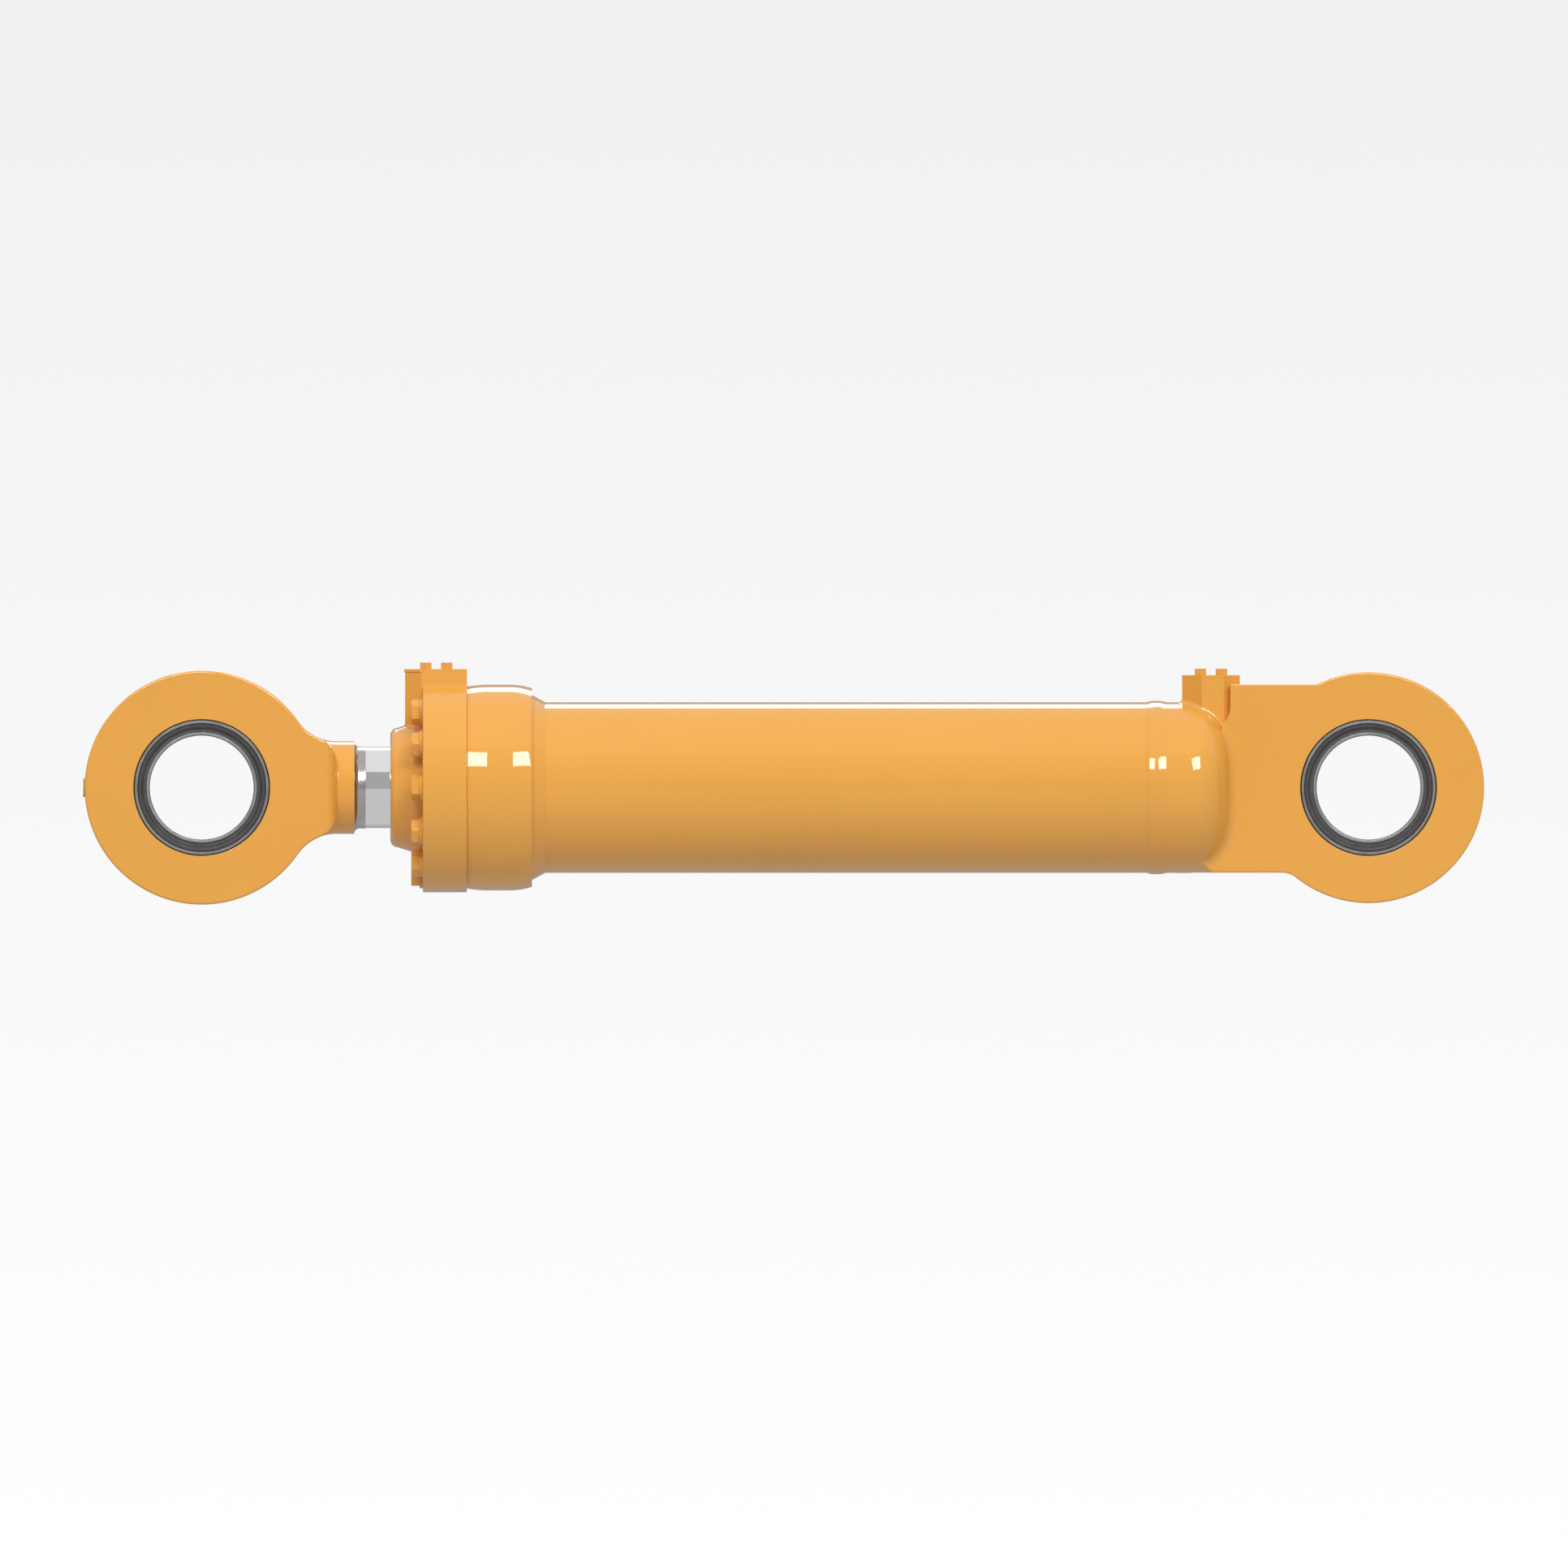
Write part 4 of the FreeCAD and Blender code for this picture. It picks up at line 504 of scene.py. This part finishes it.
def soft_panel(name, azimuth, elevation, wide, tall, radiance, distance=LAMP_DISTANCE):
    """Softbox far away: azimuth from straight in front (-Y) towards +X, angles in degrees."""
    turn = math.radians(azimuth)
    lift = math.radians(elevation)
    aim = Vector((math.sin(turn) * math.cos(lift), -math.cos(turn) * math.cos(lift), math.sin(lift)))
    lamp = bpy.data.lights.new(name, "AREA")
    lamp.shape = "RECTANGLE"
    lamp.size = 2 * distance * math.tan(math.radians(wide / 2))
    lamp.size_y = 2 * distance * math.tan(math.radians(tall / 2))
    lamp.energy = radiance * math.pi * lamp.size * lamp.size_y
    holder = bpy.data.objects.new(name, lamp)
    holder.location = Vector((middle.x, 0.0, 0.0)) + aim * distance
    holder.rotation_euler = aim.to_track_quat("Z", "Y").to_euler()
    holder.visible_camera = False
    bpy.context.scene.collection.objects.link(holder)
    return holder


def glint_panel(name, *angles):
    """Softbox seen only in mirror images, just in front of the panel whose highlight it lifts."""
    panel = soft_panel(name, *angles, GLINT_RADIANCE, GLINT_DISTANCE)
    panel.visible_diffuse = False


def studio():
    soft_panel("panel_left", *PANEL_LEFT, FRONT_RADIANCE)
    soft_panel("panel_right", *PANEL_RIGHT, FRONT_RADIANCE)
    glint_panel("glint_left", *PANEL_LEFT)
    glint_panel("glint_right", *PANEL_RIGHT)
    soft_panel("panel_back", *PANEL_BACK, BACK_RADIANCE)
    world = bpy.data.worlds.new("studio_air")
    world.use_nodes = True
    tree = world.node_tree
    tree.nodes.clear()
    g = Graph.over(tree)
    _, depth, up = g.axes(g.add("ShaderNodeTexCoord").outputs["Generated"])
    rays = g.add("ShaderNodeLightPath").outputs
    ahead = g.ramp(depth, 1.0, 0.0, AHEAD_FROM, 0.0)
    band_top = g.math("ADD", BAND_TOP, g.math("MULTIPLY", ahead, BAND_TOP_AHEAD))
    in_band = g.step(g.math("SUBTRACT", up, band_top), 0.0, BAND_BLUR, 1.0, 0.0)
    above = g.blend(in_band, SKY_LIGHT, BAND_LIGHT)
    mirrored = g.ramp(depth, GROUND_LIGHT, GROUND_BEHIND, *BEHIND_MIRRORED)
    bounced = g.ramp(depth, GROUND_LIGHT, GROUND_BOUNCE, *BEHIND_BOUNCED)
    ground = g.blend(rays["Is Diffuse Ray"], mirrored, bounced)
    level = g.blend(g.ramp(up, 0.0, 1.0, *HORIZON), ground, above)
    level = g.math("MULTIPLY", level, g.blend(rays["Is Glossy Ray"], 1.0, MIRROR_GAIN))
    level = g.blend(rays["Is Camera Ray"], level, AIR_SEEN)
    air = g.add("ShaderNodeBackground")
    g.link(level, air.inputs["Strength"])
    end = g.add("ShaderNodeOutputWorld")
    g.link(air.outputs[0], end.inputs["Surface"])
    bpy.context.scene.world = world


def side_camera():
    """Square-on parallel view from -Y, as a catalogue picture."""
    data = bpy.data.cameras.new("side")
    data.type = "ORTHO"
    data.ortho_scale = VIEW_WIDTH
    data.clip_end = CAMERA_FAR
    holder = bpy.data.objects.new("side", data)
    holder.location = (VIEW_CENTRE[0], CAMERA_Y, VIEW_CENTRE[1])
    holder.rotation_euler = (math.radians(90.0), 0.0, 0.0)
    bpy.context.scene.collection.objects.link(holder)
    bpy.context.scene.camera = holder


pale_floor()
pale_wall()
studio()
side_camera()
bpy.context.scene.view_settings.view_transform = "Standard"
